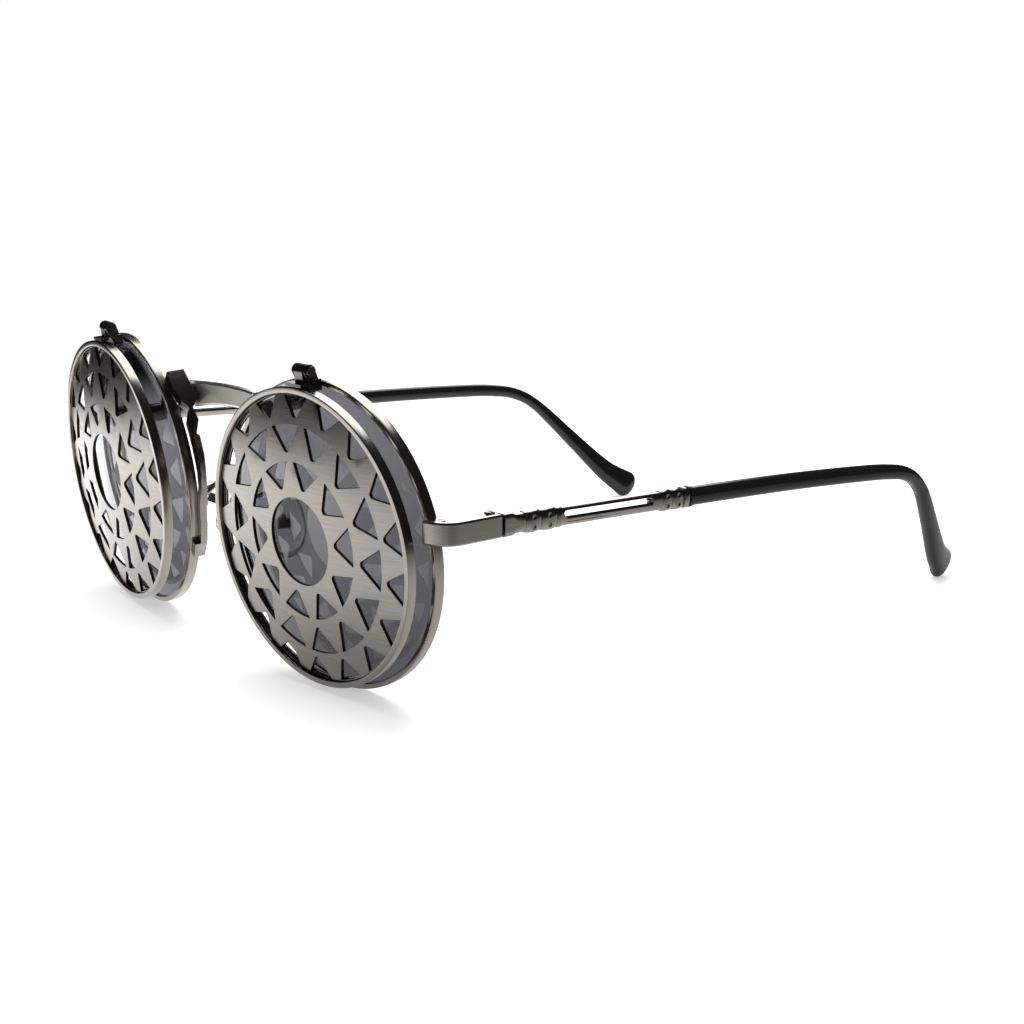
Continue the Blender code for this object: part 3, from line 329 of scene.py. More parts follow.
def vary_gloss(tree, share, shader, low, high):
    node = add(tree, "ShaderNodeMapRange")
    node.inputs["To Min"].default_value = low
    node.inputs["To Max"].default_value = high
    tree.links.new(share, node.inputs["Value"])
    tree.links.new(node.outputs["Result"], shader.inputs["Roughness"])


def emboss(tree, height, shader, strength, distance):
    node = add(tree, "ShaderNodeBump", Strength=strength, Distance=distance)
    tree.links.new(height, node.inputs["Height"])
    tree.links.new(node.outputs["Normal"], shader.inputs["Normal"])


def dimmed(colour, share):
    return [value * share for value in colour]


# Materials


def brushed(name, base, worn, roughness, stretch, fine, depth):
    """Metal with fine lines along the U of its UV map, given in millimetres, and a slight unevenness."""
    made, tree, shader = shader_of(name, Metallic=1.0)
    place = add(tree, "ShaderNodeUVMap", uv_map="UVMap")
    scaled = add(tree, "ShaderNodeMapping")
    scaled.inputs["Scale"].default_value = (stretch, fine, 1.0)
    tree.links.new(place.outputs["UV"], scaled.inputs["Vector"])
    lines = noise(tree, scaled.outputs["Vector"], Scale=1.0, Detail=6.0, Roughness=0.72)
    cloud = own_noise(tree, Scale=170.0, Detail=4.0, Roughness=0.55)
    tone(tree, lines, shader, (0.36, worn), (0.62, base))
    both = math_node(tree, "MULTIPLY", math_node(tree, "ADD", lines, cloud), 0.5)
    vary_gloss(tree, both, shader, roughness - 0.06, roughness + 0.08)
    emboss(tree, lines, shader, depth, 0.00002)
    return made


def polished(name, base, roughness):
    """Dark metal with fine wear."""
    made, tree, shader = shader_of(name, Metallic=1.0)
    wear = own_noise(tree, Scale=900.0, Detail=6.0, Roughness=0.7)
    tone(tree, wear, shader, (0.35, dimmed(base, 0.7)), (0.7, base))
    vary_gloss(tree, wear, shader, roughness - 0.05, roughness + 0.1)
    return made


def smoke_glass(name, dark, light):
    made, tree, shader = shader_of(
        name, Transmission_Weight=1.0, IOR=1.5, Roughness=0.015, Specular_IOR_Level=0.62
    )
    tone(tree, own_noise(tree, Scale=60.0, Detail=3.0), shader, (0.3, dark), (0.7, light))
    return made


def moulded(name, base, roughness, scale, depth, **values):
    """Plastic with a faint unevenness of its gloss and surface."""
    made, tree, shader = shader_of(name, **values)
    grain = own_noise(tree, Scale=scale, Detail=4.0, Roughness=0.6)
    tone(tree, grain, shader, (0.3, dimmed(base, 0.85)), (0.7, base))
    vary_gloss(tree, grain, shader, roughness * 0.75, roughness * 1.35)
    emboss(tree, grain, shader, depth, 0.00005)
    return made


METAL = brushed(
    "brushed_gunmetal",
    base=(0.42, 0.390, 0.358),
    worn=(0.35, 0.322, 0.292),
    roughness=0.20,
    stretch=0.08,
    fine=5.0,
    depth=0.25,
)
PLATE = brushed(
    "brushed_plate",
    base=(0.425, 0.398, 0.372),
    worn=(0.335, 0.312, 0.290),
    roughness=0.28,
    stretch=0.08,
    fine=4.5,
    depth=0.25,
)
# The bar's face: rougher than the other metal (satin), and with its colour painted much lighter than the same
# metal elsewhere, which is painted light
SATIN_BAR_PAINTED_LIGHT = brushed(
    "satin_bar_painted_light",
    base=(0.94, 0.900, 0.860),
    worn=(0.82, 0.785, 0.750),
    roughness=0.42,
    stretch=0.10,
    fine=5.0,
    depth=0.25,
)
CUT_EDGE = polished("etched_edge", base=(0.055, 0.050, 0.046), roughness=0.35)
SCREW = polished("polished_screw", base=(0.22, 0.21, 0.20), roughness=0.22)
LENS = smoke_glass("smoke_lens", dark=(0.092, 0.092, 0.100), light=(0.102, 0.101, 0.110))
BLACK = moulded(
    "black_acetate",
    base=(0.010, 0.010, 0.011),
    roughness=0.16,
    scale=500.0,
    depth=0.05,
    Specular_IOR_Level=0.45,
)
CLEAR = moulded(
    "clear_silicone",
    base=(0.93, 0.93, 0.92),
    roughness=0.13,
    scale=400.0,
    depth=0.06,
    Transmission_Weight=0.92,
    IOR=1.43,
)


# Pieces. Meshes are made in millimetres in a local frame, then put in place


def put(name, mesh, matrix, finish, angle=SHARP_ANGLE):
    """Turns a mesh in millimetres into an object in metres."""
    bmesh.ops.transform(mesh, matrix=Matrix.Scale(MM, 4) @ matrix, verts=mesh.verts)
    bmesh.ops.recalc_face_normals(mesh, faces=mesh.faces)
    if mesh.calc_volume(signed=True) < 0:
        bmesh.ops.reverse_faces(mesh, faces=mesh.faces)
    data = bpy.data.meshes.new(name)
    mesh.to_mesh(data)
    mesh.free()
    data.shade_smooth()
    data.set_sharp_from_angle(angle=radians(angle))
    data.materials.append(finish)
    made = bpy.data.objects.new(name, data)
    bpy.context.scene.collection.objects.link(made)
    return made


def carve(target, tools, operation="DIFFERENCE"):
    """Cuts tools out of a piece, or joins them to it, and keeps the result as its mesh."""
    for tool in tools:
        modifier = target.modifiers.new("Carve", "BOOLEAN")
        modifier.operation = operation
        modifier.solver = "EXACT"
        modifier.object = tool
    graph = bpy.context.evaluated_depsgraph_get()
    made = bpy.data.meshes.new_from_object(target.evaluated_get(graph))
    target.modifiers.clear()
    target.data = made
    made.shade_smooth()
    made.set_sharp_from_angle(angle=radians(SHARP_ANGLE))
    for tool in tools:
        bpy.data.objects.remove(tool)


def soften(piece, width, segments, angle):
    modifier = piece.modifiers.new("Soft edges", "BEVEL")
    modifier.width = width * MM
    modifier.segments = segments
    modifier.limit_method = "ANGLE"
    modifier.angle_limit = radians(angle)
    modifier.harden_normals = True


def fit(piece, body, node):
    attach(piece, body)
    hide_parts(node)


# Shapes


def mix(low, high, share):
    return low + (high - low) * min(max(share, 0), 1)


def mix_pair(low, high, share):
    return mix(low[0], high[0], share), mix(low[1], high[1], share)


def eased(share):
    share = min(max(share, 0), 1)
    return share * share * (3 - 2 * share)


def dome_drop(radius, sphere):
    return sphere - sqrt(sphere**2 - radius**2)


def uv_layer(mesh):
    return mesh.loops.layers.uv.get("UVMap") or mesh.loops.layers.uv.new("UVMap")


def flat_uv(mesh):
    """Lays the UV map over the X and Y of the mesh, in millimetres."""
    layer = uv_layer(mesh)
    for face in mesh.faces:
        for loop in face.loops:
            x, y, z = loop.vert.co
            loop[layer].uv = (x, y + z * UV_SLANT)


def grid_mesh(rings, us, vs, closed_along=False):
    """Skins rows of points, with a UV map whose U runs along the rows and V round them, in millimetres."""
    mesh = bmesh.new()
    rows = [[mesh.verts.new(point) for point in ring] for ring in rings]
    layer = uv_layer(mesh)
    count = len(rows)
    spans = count if closed_along else count - 1
    size = len(rows[0])
    for row in range(spans):
        after = (row + 1) % count
        for index in range(size):
            beside = (index + 1) % size
            corners = (rows[row][index], rows[row][beside], rows[after][beside], rows[after][index])
            face = mesh.faces.new(corners)
            u0, u1 = us[row], us[row + 1]
            v0, v1 = vs[index], vs[index + 1]
            for loop, place in zip(face.loops, ((u0, v0), (u0, v1), (u1, v1), (u1, v0))):
                loop[layer].uv = place
    if not closed_along:
        for row in (rows[0], rows[-1]):
            face = mesh.faces.new(row)
            for loop in face.loops:
                loop[layer].uv = (loop.vert.co.x, loop.vert.co.z)
    return mesh


def running(points):
    """Distances along a row of points, from its first."""
    total = [0.0]
    for a, b in zip(points, points[1:]):
        total.append(total[-1] + (Vector(b) - Vector(a)).length)
    return total


def turned(profile):
    """Turns a closed (radius, height) outline about Z. Its brushing runs round."""
    rings = []
    for step in range(RING_STEPS):
        angle = tau * step / RING_STEPS
        rings.append([(radius * cos(angle), radius * sin(angle), height) for radius, height in profile])
    vs = running([(radius, height, 0) for radius, height in profile] + [(*profile[0], 0)])
    us = [tau * profile[0][0] * step / RING_STEPS for step in range(RING_STEPS + 1)]
    return grid_mesh(rings, us, vs, closed_along=True)


def turned_solid(profile, steps):
    """Turns an open (radius, height) outline that starts and ends on the axis."""
    mesh = bmesh.new()
    points = [mesh.verts.new((radius, 0, height)) for radius, height in profile]
    edges = [mesh.edges.new(pair) for pair in zip(points, points[1:])]
    bmesh.ops.spin(mesh, geom=points + edges, cent=(0, 0, 0), axis=(0, 0, 1), angle=tau, steps=steps)
    bmesh.ops.remove_doubles(mesh, verts=mesh.verts, dist=WELD)
    flat_uv(mesh)
    return mesh


def rounded(outline, radius):
    """A closed outline with each corner turned through an arc."""
    made = []
    count = len(outline)
    for index in range(count):
        before, corner, after = (Vector(outline[(index + way) % count]) for way in (-1, 0, 1))
        into = (corner - before).normalized()
        out = (after - corner).normalized()
        turn = acos(max(-1.0, min(1.0, into.dot(out))))
        wanted = radius * sin(turn / 2) / max(cos(turn / 2), 0.01)
        spare = CORNER_SHARE * min((corner - before).length, (after - corner).length)
        cut = min(wanted, spare)
        start = corner - into * cut
        end = corner + out * cut
        for step in range(CORNER_STEPS + 1):
            t = step / CORNER_STEPS
            made.append(tuple(start.lerp(corner, t).lerp(corner.lerp(end, t), t)))
    return made


def circle(radius, sides, centre=(0, 0)):
    x, y = centre
    return [(x + radius * cos(tau * k / sides), y + radius * sin(tau * k / sides)) for k in range(sides)]


def prism(outline, low, high):
    mesh = bmesh.new()
    base = mesh.faces.new([mesh.verts.new((x, y, low)) for x, y in outline])
    raised = bmesh.ops.extrude_face_region(mesh, geom=[base])
    points = [item for item in raised["geom"] if isinstance(item, bmesh.types.BMVert)]
    bmesh.ops.translate(mesh, vec=(0, 0, high - low), verts=points)
    flat_uv(mesh)
    return mesh


def disc(radius, low, high, centre, sides):
    return prism(circle(radius, sides, centre), low, high)


def box(low, high):
    outline = ((low[0], low[1]), (high[0], low[1]), (high[0], high[1]), (low[0], high[1]))
    return prism(outline, low[2], high[2])


def smooth_route(points, each):
    """A curve through points, with a number of steps between each two."""
    route = [Vector(point) for point in points]
    route = [2 * route[0] - route[1]] + route + [2 * route[-1] - route[-2]]
    made = []
    for a, b, c, d in zip(route, route[1:], route[2:], route[3:]):
        for step in range(each):
            t = step / each
            square = (2 * a - 5 * b + 4 * c - d) * t**2
            cube = (3 * b - a - 3 * c + d) * t**3
            made.append(0.5 * (2 * b + (c - a) * t + square + cube))
    made.append(route[-2])
    return made


def route_at(route, y):
    for a, b in zip(route, route[1:]):
        if a.y <= y <= b.y:
            return a.lerp(b, (y - a.y) / (b.y - a.y))
    return (route[0] if y < route[0].y else route[-1]).copy()


def swept(route, halves, squareness, sides):
    """Carries an oval along a route.

    halves(index, point) gives its half width across and its half height, and squareness(point) its shape.
    """
    across = Vector((1, 0, 0))
    rings = []
    for index, point in enumerate(route):
        before = route[max(index - 1, 0)]
        after = route[min(index + 1, len(route) - 1)]
        along = (after - before).normalized()
        wide = (across - across.dot(along) * along).normalized()
        tall = along.cross(wide)
        half_width, half_height = halves(index, point)
        shape = squareness(point)
        ring = []
        for step in range(sides):
            angle = tau * (step + 0.5) / sides
            x = copysign(abs(cos(angle)) ** shape, cos(angle))
            y = copysign(abs(sin(angle)) ** shape, sin(angle))
            ring.append(point + half_width * x * wide + half_height * y * tall)
        rings.append(ring)
    middle = rings[len(rings) // 2]
    return grid_mesh(rings, running(route), running(middle + [middle[0]]))


# Fronts


def build_rim(side):
    name = side_name(side)
    place = rim_matrix(side) @ mirrored(side)
    inner = RIM_RADIUS - RIM_WALL
    middle = -RIM_DEPTH / 2
    mouth = LENS_EDGE / 2 + SEAT_GAP + RIM_GROOVE / 2
    floor = LENS_EDGE / 2 + SEAT_GAP
    profile = rounded(
        (
            (RIM_RADIUS - RIM_CROWN, 0),
            (RIM_RADIUS, middle / 2),
            (RIM_RADIUS, middle * 1.5),
            (RIM_RADIUS - RIM_CROWN, -RIM_DEPTH),
            (inner, -RIM_DEPTH),
            (inner, middle - mouth),
            (inner + RIM_GROOVE, middle - floor),
            (inner + RIM_GROOVE, middle + floor),
            (inner, middle + mouth),
            (inner, 0),
        ),
        RIM_CORNER,
    )
    rim = put(f"rim_ring_{name}", turned(profile), place, METAL, angle=40.0)
    # The block that closes the rim, behind the strap, split level with its middle
    low, high = CLOSING_RISE - CLOSING_HALF, CLOSING_RISE + CLOSING_HALF
    out = sqrt(RIM_RADIUS**2 - CLOSING_RISE**2) + CLOSING_OUT
    centre = (middle - CLOSING_BACK, out)
    block = put("block", disc(CLOSING_RADIUS, low, high, centre, 32), place @ ALONG_Y, METAL)
    web = box((out - WEB_REACH, low, -RIM_DEPTH + WEB_STEP), (out, high, middle))
    web = put("web", web, place, METAL)
    hollow = put("hollow", disc(RIM_RADIUS - WEB_LAP, -FAR, FAR, (0, 0), RING_STEPS), place, METAL)
    carve(web, [hollow])
    carve(rim, [web, block], "UNION")
    split_low, split_high = CLOSING_RISE - SPLIT_HALF, CLOSING_RISE + SPLIT_HALF
    split = box((out - SPLIT_REACH, split_low, -FAR), (out + OVERRUN, split_high, OVERRUN))
    split = put("split", split, place, METAL)
    bore = disc(CLOSING_BORE, CLOSING_RISE - 2 * OVERRUN, CLOSING_RISE + 2 * OVERRUN, centre, 24)
    bore = put("bore", bore, place @ ALONG_Y, METAL)
    carve(rim, [split, bore])
    fit(rim, "frame", f"rim_{name}")


def build_lens(side):
    name = side_name(side)
    radius = RIM_RADIUS - RIM_WALL + RIM_GROOVE - SEAT_GAP
    middle = -RIM_DEPTH / 2
    bevel = radius - RIM_GROOVE
    crown = dome_drop(bevel, LENS_DOME_RADIUS)
    front = []
    for row in range(LENS_ROWS + 1):
        across = bevel * row / LENS_ROWS
        height = middle + LENS_EDGE / 2 + RIM_GROOVE / 2 + crown - dome_drop(across, LENS_DOME_RADIUS)
        front.append((across, height))
    back = [(x, z - LENS_THICKNESS) for x, z in reversed(front)]
    edge = [
        (radius, middle + LENS_EDGE / 2),
        (radius, middle - LENS_EDGE / 2),
        (bevel, middle - LENS_EDGE / 2 - RIM_GROOVE / 2),
    ]
    glass = turned_solid(front + edge + back, LENS_STEPS)
    lens = put(f"lens_glass_{name}", glass, rim_matrix(side), LENS, angle=30.0)
    fit(lens, "frame", f"lens_{name}")


def cutout(count, inner, outer, turn, spread, index):
    """The outline of one triangle: a blunt point towards the eye, and an arc opposite."""
    centre = inner + BLUNT
    corner = Vector((outer * cos(spread / 2) - centre, outer * sin(spread / 2)))
    reach = atan2(corner.y, corner.x) + acos(BLUNT / corner.length)
    outline = []
    for step in range(CUTOUT_STEPS + 1):
        angle = reach + (tau - 2 * reach) * step / CUTOUT_STEPS
        outline.append((centre + BLUNT * cos(angle), BLUNT * sin(angle)))
    for step in range(CUTOUT_STEPS + 1):
        angle = spread * (step / CUTOUT_STEPS - 0.5)
        outline.append((outer * cos(angle), outer * sin(angle)))
    heading = turn + tau * index / count
    return [(x * cos(heading) - y * sin(heading), x * sin(heading) + y * cos(heading)) for x, y in outline]


def pierced_plate(radius, crown):
    """The domed plate with its eye and its three rings of triangles, front and back."""
    loops = [circle(radius, RING_STEPS), circle(EYE_RADIUS, EYE_STEPS)]
    for count, inner, outer, turn, spread in CUTOUT_RINGS:
        for index in range(count):
            loops.append(cutout(count, inner, outer, turn, spread, index))
    points = [Vector(point) for loop in loops for point in loop]
    starts = [sum(len(loop) for loop in loops[:index]) for index in range(len(loops))]
    faces = [list(range(start, start + len(loop))) for start, loop in zip(starts, loops)]
    for ring in FILL_RINGS:
        across = ring + FILL_OFFSET
        steps = ring * FILL_PER_RING
        for step in range(steps):
            angle = tau * (step + 0.5 * (ring % 2)) / steps
            points.append(Vector((across * cos(angle), across * sin(angle))))
    found, _, triangles, _, _, sources = delaunay_2d_cdt(points, [], faces, 1, WELD)
    mesh = bmesh.new()
    heights = [crown - dome_drop(hypot(x, y), PLATE_DOME_RADIUS) for x, y in found]
    corners = [mesh.verts.new((x, y, height)) for (x, y), height in zip(found, heights)]
    for triangle, owners in zip(triangles, sources):
        # What lies in the outline alone is sheet, and what lies in a second loop too is cut out
        if owners == [0]:
            mesh.faces.new([corners[index] for index in triangle])
    loose = [corner for corner in mesh.verts if not corner.link_faces]
    bmesh.ops.delete(mesh, geom=loose, context="VERTS")
    raised = bmesh.ops.extrude_face_region(mesh, geom=mesh.faces[:])
    moved = [item for item in raised["geom"] if isinstance(item, bmesh.types.BMVert)]
    bmesh.ops.translate(mesh, vec=(0, 0, -PLATE_THICKNESS), verts=moved)
    mesh.normal_update()
    for face in mesh.faces:
        face.material_index = 1 if abs(face.normal.z) < 0.5 else 0
    flat_uv(mesh)
    return mesh


def build_cover(side):
    name = side_name(side)
    body = f"cover_{name}_body"
    place = rim_matrix(side) @ mirrored(side) @ Matrix.Translation((0, COVER_LIFT, 0))
    inner = COVER_RADIUS - COVER_WALL
    plate_radius = inner - SEAT_GAP
    crown = COVER_FRONT - PLATE_SINK + dome_drop(plate_radius, PLATE_DOME_RADIUS)
    ledge = COVER_FRONT - PLATE_SINK - PLATE_THICKNESS - SEAT_GAP
    profile = rounded(
        (
            (inner, COVER_FRONT),
            (COVER_RADIUS, COVER_FRONT),
            (COVER_RADIUS, COVER_BACK),
            (inner - COVER_LEDGE, COVER_BACK),
            (inner - COVER_LEDGE, ledge),
            (inner, ledge),
        ),
        COVER_CORNER,
    )
    ring = put(f"cover_band_{name}", turned(profile), place, METAL, angle=40.0)
    fit(ring, body, f"cover_ring_{name}")
    plate = put(f"cover_sheet_{name}", pierced_plate(plate_radius, crown), place, PLATE, angle=40.0)
    plate.data.materials.append(CUT_EDGE)
    soften(plate, width=0.05, segments=1, angle=50.0)
    fit(plate, body, f"cover_plate_{name}")


# Temples


def bead_swell(y, start, pitch, beads):
    """0 in the notches and 1 on the crowns of a group of beads."""
    share = (y - start) / pitch
    if share < 0 or share > beads:
        return 0.0
    return sqrt(abs(sin(pi * share)))


def arm_halves(index, point):
    """Half thickness and half height of the forged arm at a point of its centre line."""
    y = point.y
    block_end = ARM_START + ARM_BLOCK
    if y <= block_end + ARM_BLOCK_FADE:
        return mix_pair(BLOCK_HALVES, NECK_HALVES, eased((y - block_end) / ARM_BLOCK_FADE))
    if COLLAR[0] <= y <= COLLAR[1]:
        edge = min(y - COLLAR[0], COLLAR[1] - y)
        share = min(edge / COLLAR_EDGE, 1.0)
        return mix_pair(COLLAR_EDGE_HALVES, COLLAR_HALVES, share**0.5)
    swell = max(bead_swell(y, start, pitch, BEADS) for start, pitch in BEAD_GROUPS)
    swell = max(swell, RIB_SWELL * bead_swell(y, *RIB, 1))
    return mix_pair(NECK_HALVES, BEAD_HALVES, swell)


def arm_squareness(point):
    """Flat where it meets the strap, rounder from the beads back."""
    return mix(*ARM_SQUARENESS, eased((point.y - ARM_START - ARM_BLOCK) / ARM_ROUNDING))


def arm_stations():
    """Distances back at which the arm has a section, closest together on its beads and edges."""
    stations = [ARM_START, ARM_START + 0.15]
    stations += [ARM_START + ARM_BLOCK + step * BLOCK_PITCH for step in range(BLOCK_STEPS)]
    shares = [(1 - cos(pi * step / BEAD_STEPS)) / 2 for step in range(BEAD_STEPS + 1)]
    for group, pitch in BEAD_GROUPS:
        stations += [group + pitch * share for share in shares]
        stations += [group + pitch * (1 + share) for share in shares[1:]]
    stations += [RIB[0] + RIB[1] * (1 - cos(pi * step / RIB_STEPS)) / 2 for step in range(1, RIB_STEPS + 1)]
    stations += [SLOT[0] + (SLOT[1] - SLOT[0]) * (step + 0.5) / SLOT_STEPS for step in range(SLOT_STEPS)]
    stations += [COLLAR[0] - 0.05] + [COLLAR[0] + step for step in (0, 0.06, 0.15, COLLAR_EDGE)]
    stations += [COLLAR[1] - step for step in (COLLAR_EDGE, 0.15, 0.06, 0)]
    return sorted(stations)


def slot_outline(route):
    """The slot's outline, with round ends, in Y and Z."""
    radius = SLOT_HEIGHT / 2
    outline = []
    for end, way in ((route_at(route, SLOT[1]), 1), (route_at(route, SLOT[0]), -1)):
        for step in range(SLOT_STEPS + 1):
            angle = pi * (step / SLOT_STEPS - 0.5)
            y = end.y + way * radius * (cos(angle) - 1)
            outline.append((y, end.z + SLOT_RISE + way * radius * sin(angle)))
    return outline


def slot_tools(route, place):
    """Cutters of the slot, of its lower edge, eased on both faces, and of the groove below it."""
    middle = route_at(route, (SLOT[0] + SLOT[1]) / 2)
    slot = prism(slot_outline(route), middle.x - OVERRUN, middle.x + OVERRUN)
    tools = [put("slot", slot, place @ ALONG_X, METAL)]
    run = SLOT[1] - SLOT[0] - 2 * EASING_INSET
    places = [SLOT[0] + EASING_INSET + run * step / SLOT_STEPS for step in range(SLOT_STEPS + 1)]
    inside = [route_at(route, y) for y in places]
    for out in (1, -1):
        edge = [point + Vector((out * EASING_OUT, 0, SLOT_RISE - SLOT_HEIGHT / 2)) for point in inside]
        easing = swept(edge, lambda index, point: EASING_HALVES, lambda point: 2.0, 16)
        tools.append(put("easing", easing, place, METAL))
    start, end = route_at(route, SLOT[0] + GROOVE_INSET), route_at(route, SLOT[1] - GROOVE_INSET)
    groove = (
        (start.y, start.z - GROOVE_LOW),
        (end.y, end.z - GROOVE_LOW),
        (end.y, end.z - GROOVE_HIGH),
        (start.y, start.z - GROOVE_HIGH),
    )
    groove = prism(groove, middle.x + GROOVE_FLOOR, middle.x + OVERRUN)
    tools.append(put("groove", groove, place @ ALONG_X, METAL))
    return tools


def dimple_tools(route, place):
    """Cutters of two dimples in the outer face of each bead."""
    tools = []
    for group, pitch in BEAD_GROUPS:
        for bead in range(BEADS):
            for way in (1, -1):
                at = route_at(route, group + pitch * (bead + 0.5))
                centre = (at.y, at.z + way * DIMPLE_RISE)
                dimple = disc(DIMPLE_RADIUS, at.x + DIMPLE_FLOOR, at.x + REACH, centre, 16)
                tools.append(put("dimple", dimple, place @ ALONG_X, METAL))
    return tools


def build_temple(side):
    name = side_name(side)
    place = IN_PLACE @ mirrored(side)
    route = smooth_route(TEMPLE_ROUTE, ROUTE_STEPS)
    points = [route_at(route, y) for y in arm_stations()]
    for point in points[:3]:
        point.z = STRAP_MIDDLE
    arm = swept(points, arm_halves, arm_squareness, ARM_SIDES)
    arm = put(f"temple_arm_{name}", arm, place, METAL, angle=40.0)
    core = [route_at(route, COLLAR[1] - CORE_LAP)]
    core += [point for point in route if COLLAR[1] + CORE_LAP < point.y < COLLAR[1] + CORE_RUN]
    core = swept(core, lambda index, point: (CORE_RADIUS, CORE_RADIUS), lambda point: 1.0, 16)
    core = put("core", core, place, METAL)
    x, y = HINGE
    low, high = STRAP_MIDDLE - HINGE_HALF, STRAP_MIDDLE + HINGE_HALF
    knuckle = put("knuckle", disc(HINGE_RADIUS, low, high, HINGE, 40), place, METAL)
    leaf = box((x - LEAF_IN, y, low), (x + LEAF_OUT, ARM_START + ARM_BLOCK, high))
    leaf = put("leaf", leaf, place, METAL)
    trim = box((x + LEAF_TRIM, y - REACH, low - OVERRUN), (x + REACH, ARM_START, high + OVERRUN))
    trim = put("trim", trim, place, METAL)
    carve(leaf, [trim])
    carve(arm, [core, knuckle, leaf], "UNION")
    tools = slot_tools(route, place) + dimple_tools(route, place)
    bore = disc(HINGE_BORE, low - OVERRUN, high + OVERRUN, HINGE, 24)
    tools.append(put("bore", bore, place, METAL))
    carve(arm, tools)
    soften(arm, width=0.07, segments=2, angle=40.0)
    fit(arm, f"temple_{name}_body", f"temple_{name}")


def tip_section(y):
    for a, b in zip(TIP_SECTIONS, TIP_SECTIONS[1:]):
        if y <= b[0]:
            return mix_pair(a[1:], b[1:], (y - a[0]) / (b[0] - a[0]))
    return TIP_SECTIONS[-1][1:]


def build_tip(side):
    name = side_name(side)
    route = smooth_route(TEMPLE_ROUTE, TIP_ROUTE_STEPS)
    mouth = COLLAR[1] + TIP_GAP
    points = [route_at(route, mouth + step) for step, _, _ in TIP_LIP]
    points.append(route_at(route, mouth + LIP_END))
    points += [point for point in route if point.y > mouth + SLEEVE_START]
    last = len(points) - 1
    onward = (points[-1] - points[-2]).normalized()
    nose = [TIP_NOSE * sin(pi / 2 * step / NOSE_STEPS) for step in range(1, NOSE_STEPS + 1)]
    points += [points[last] + onward * reach for reach in nose]

    def halves(index, point):
        if index < len(TIP_LIP):
            return TIP_LIP[index][1:]
        if index <= last:
            return tip_section(point.y)
        thick, tall = tip_section(TIP_SECTIONS[-1][0])
        close = max(cos(pi / 2 * (index - last) / NOSE_STEPS), TIP_END_SHARE)
        return thick * close, tall * close

    tip = swept(points, halves, lambda point: TIP_SQUARENESS, TIP_SIDES)
    tip = put(f"tip_sleeve_{name}", tip, IN_PLACE @ mirrored(side), BLACK, angle=50.0)
    fit(tip, f"temple_{name}_body", f"temple_tip_{name}")


# Nose pads


def pad_matrix(side):
    turn = Matrix.Rotation(side * -PAD_SPLAY, 4, "Z")
    tilt = Matrix.Rotation(side * -PAD_TILT, 4, "Y")
    nose = Vector((RIM_GAP / 2, -RIM_RADIUS * sin(WRAP), RIM_RADIUS * cos(LEAN)))
    place = (side * (nose.x + PAD_OUT), nose.y + PAD_BACK - MIDDLE_BACK, nose.z - PAD_DROP)
    return Matrix.Translation(place) @ turn @ tilt


def build_pad(side):
    name = side_name(side)
    rings = []
    for share, depth in PAD_ROWS:
        ring = []
        for step in range(PAD_STEPS):
            angle = tau * step / PAD_STEPS
            width = PAD_HALF_WIDTH * share * cos(angle) * (1 - PAD_TAPER * sin(angle))
            ring.append((-depth * PAD_THICKNESS, width, PAD_HALF_HEIGHT * share * sin(angle)))
        rings.append(ring)
    us = [float(index) for index in range(len(rings) + 1)]
    vs = [index * 0.5 for index in range(PAD_STEPS + 1)]
    place = pad_matrix(side) @ mirrored(side)
    pad = put(f"pad_{name}", grid_mesh(rings, us, vs), place, CLEAR, angle=60.0)
    tab = disc(PAD_TAB_RADIUS, -PAD_TAB_HALF, PAD_TAB_HALF, (0, PAD_TAB_OUT), 32)
    tab = put("tab", tab, place @ ALONG_Y, CLEAR)
    stem = box((0, -PAD_TAB_HALF, -PAD_TAB_RADIUS), (PAD_TAB_OUT, PAD_TAB_HALF, PAD_TAB_RADIUS))
    stem = put("stem", stem, place, CLEAR)
    carve(pad, [tab, stem], "UNION")
    bore = put("bore", disc(PAD_BORE, -REACH, REACH, (0, PAD_TAB_OUT), 20), place @ ALONG_Y, CLEAR)
    carve(pad, [bore])
    fit(pad, f"pad_{name}_body", f"nose_pad_{name}")


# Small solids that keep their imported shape, with softened edges


def dressed(node, body, finish, width, shape=None):
    """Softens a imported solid's edges. shape(mesh), where there is one, changes its mesh before that."""
    mesh = bmesh.new()
    mesh.from_mesh(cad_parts[node].data)
    bmesh.ops.remove_doubles(mesh, verts=mesh.verts, dist=PACKED_WELD)
    bmesh.ops.dissolve_limit(mesh, angle_limit=FLAT_ANGLE, verts=mesh.verts, edges=mesh.edges)
    bmesh.ops.transform(mesh, matrix=Matrix.Scale(1 / MM, 4), verts=mesh.verts)
    if shape:
        shape(mesh)
    layer = uv_layer(mesh)
    for face in mesh.faces:
        for loop in face.loops:
            x, y, z = loop.vert.co
            loop[layer].uv = (y + UV_SLANT * x, z + UV_SLANT * x)
    piece = put(f"{node}_finished", mesh, Matrix.Identity(4), finish, angle=32.0)
    soften(piece, width, segments=2, angle=32.0)
    fit(piece, body, node)
    return piece


def lean_bar(mesh):
    """Leans the bar's face down, twice as far as the fronts do, and gives it a satin finish of its own whose
    colour is painted lighter than the other metal, as painted light.
    """
    top = max(vert.co.z for vert in mesh.verts if abs(vert.co.x) < BAR_SPAN)
    for vert in mesh.verts:
        if vert.co.z > top - BAR_LEAN_DEPTH:
            fade = mix(1, 0, (abs(vert.co.x) - BAR_LEAN_END) / BAR_LEAN_FADE)
            vert.co.y += (top - vert.co.z) * sin(BAR_LEAN) * fade
    mesh.normal_update()
    for face in mesh.faces:
        middle = face.calc_center_median()
        on_painted_face = abs(middle.x) < BAR_PAINTED_FACE_END and middle.z > top - BAR_PAINTED_FACE_DEPTH
        if on_painted_face and face.normal.y < BAR_PAINTED_FACING:
            face.material_index = 1


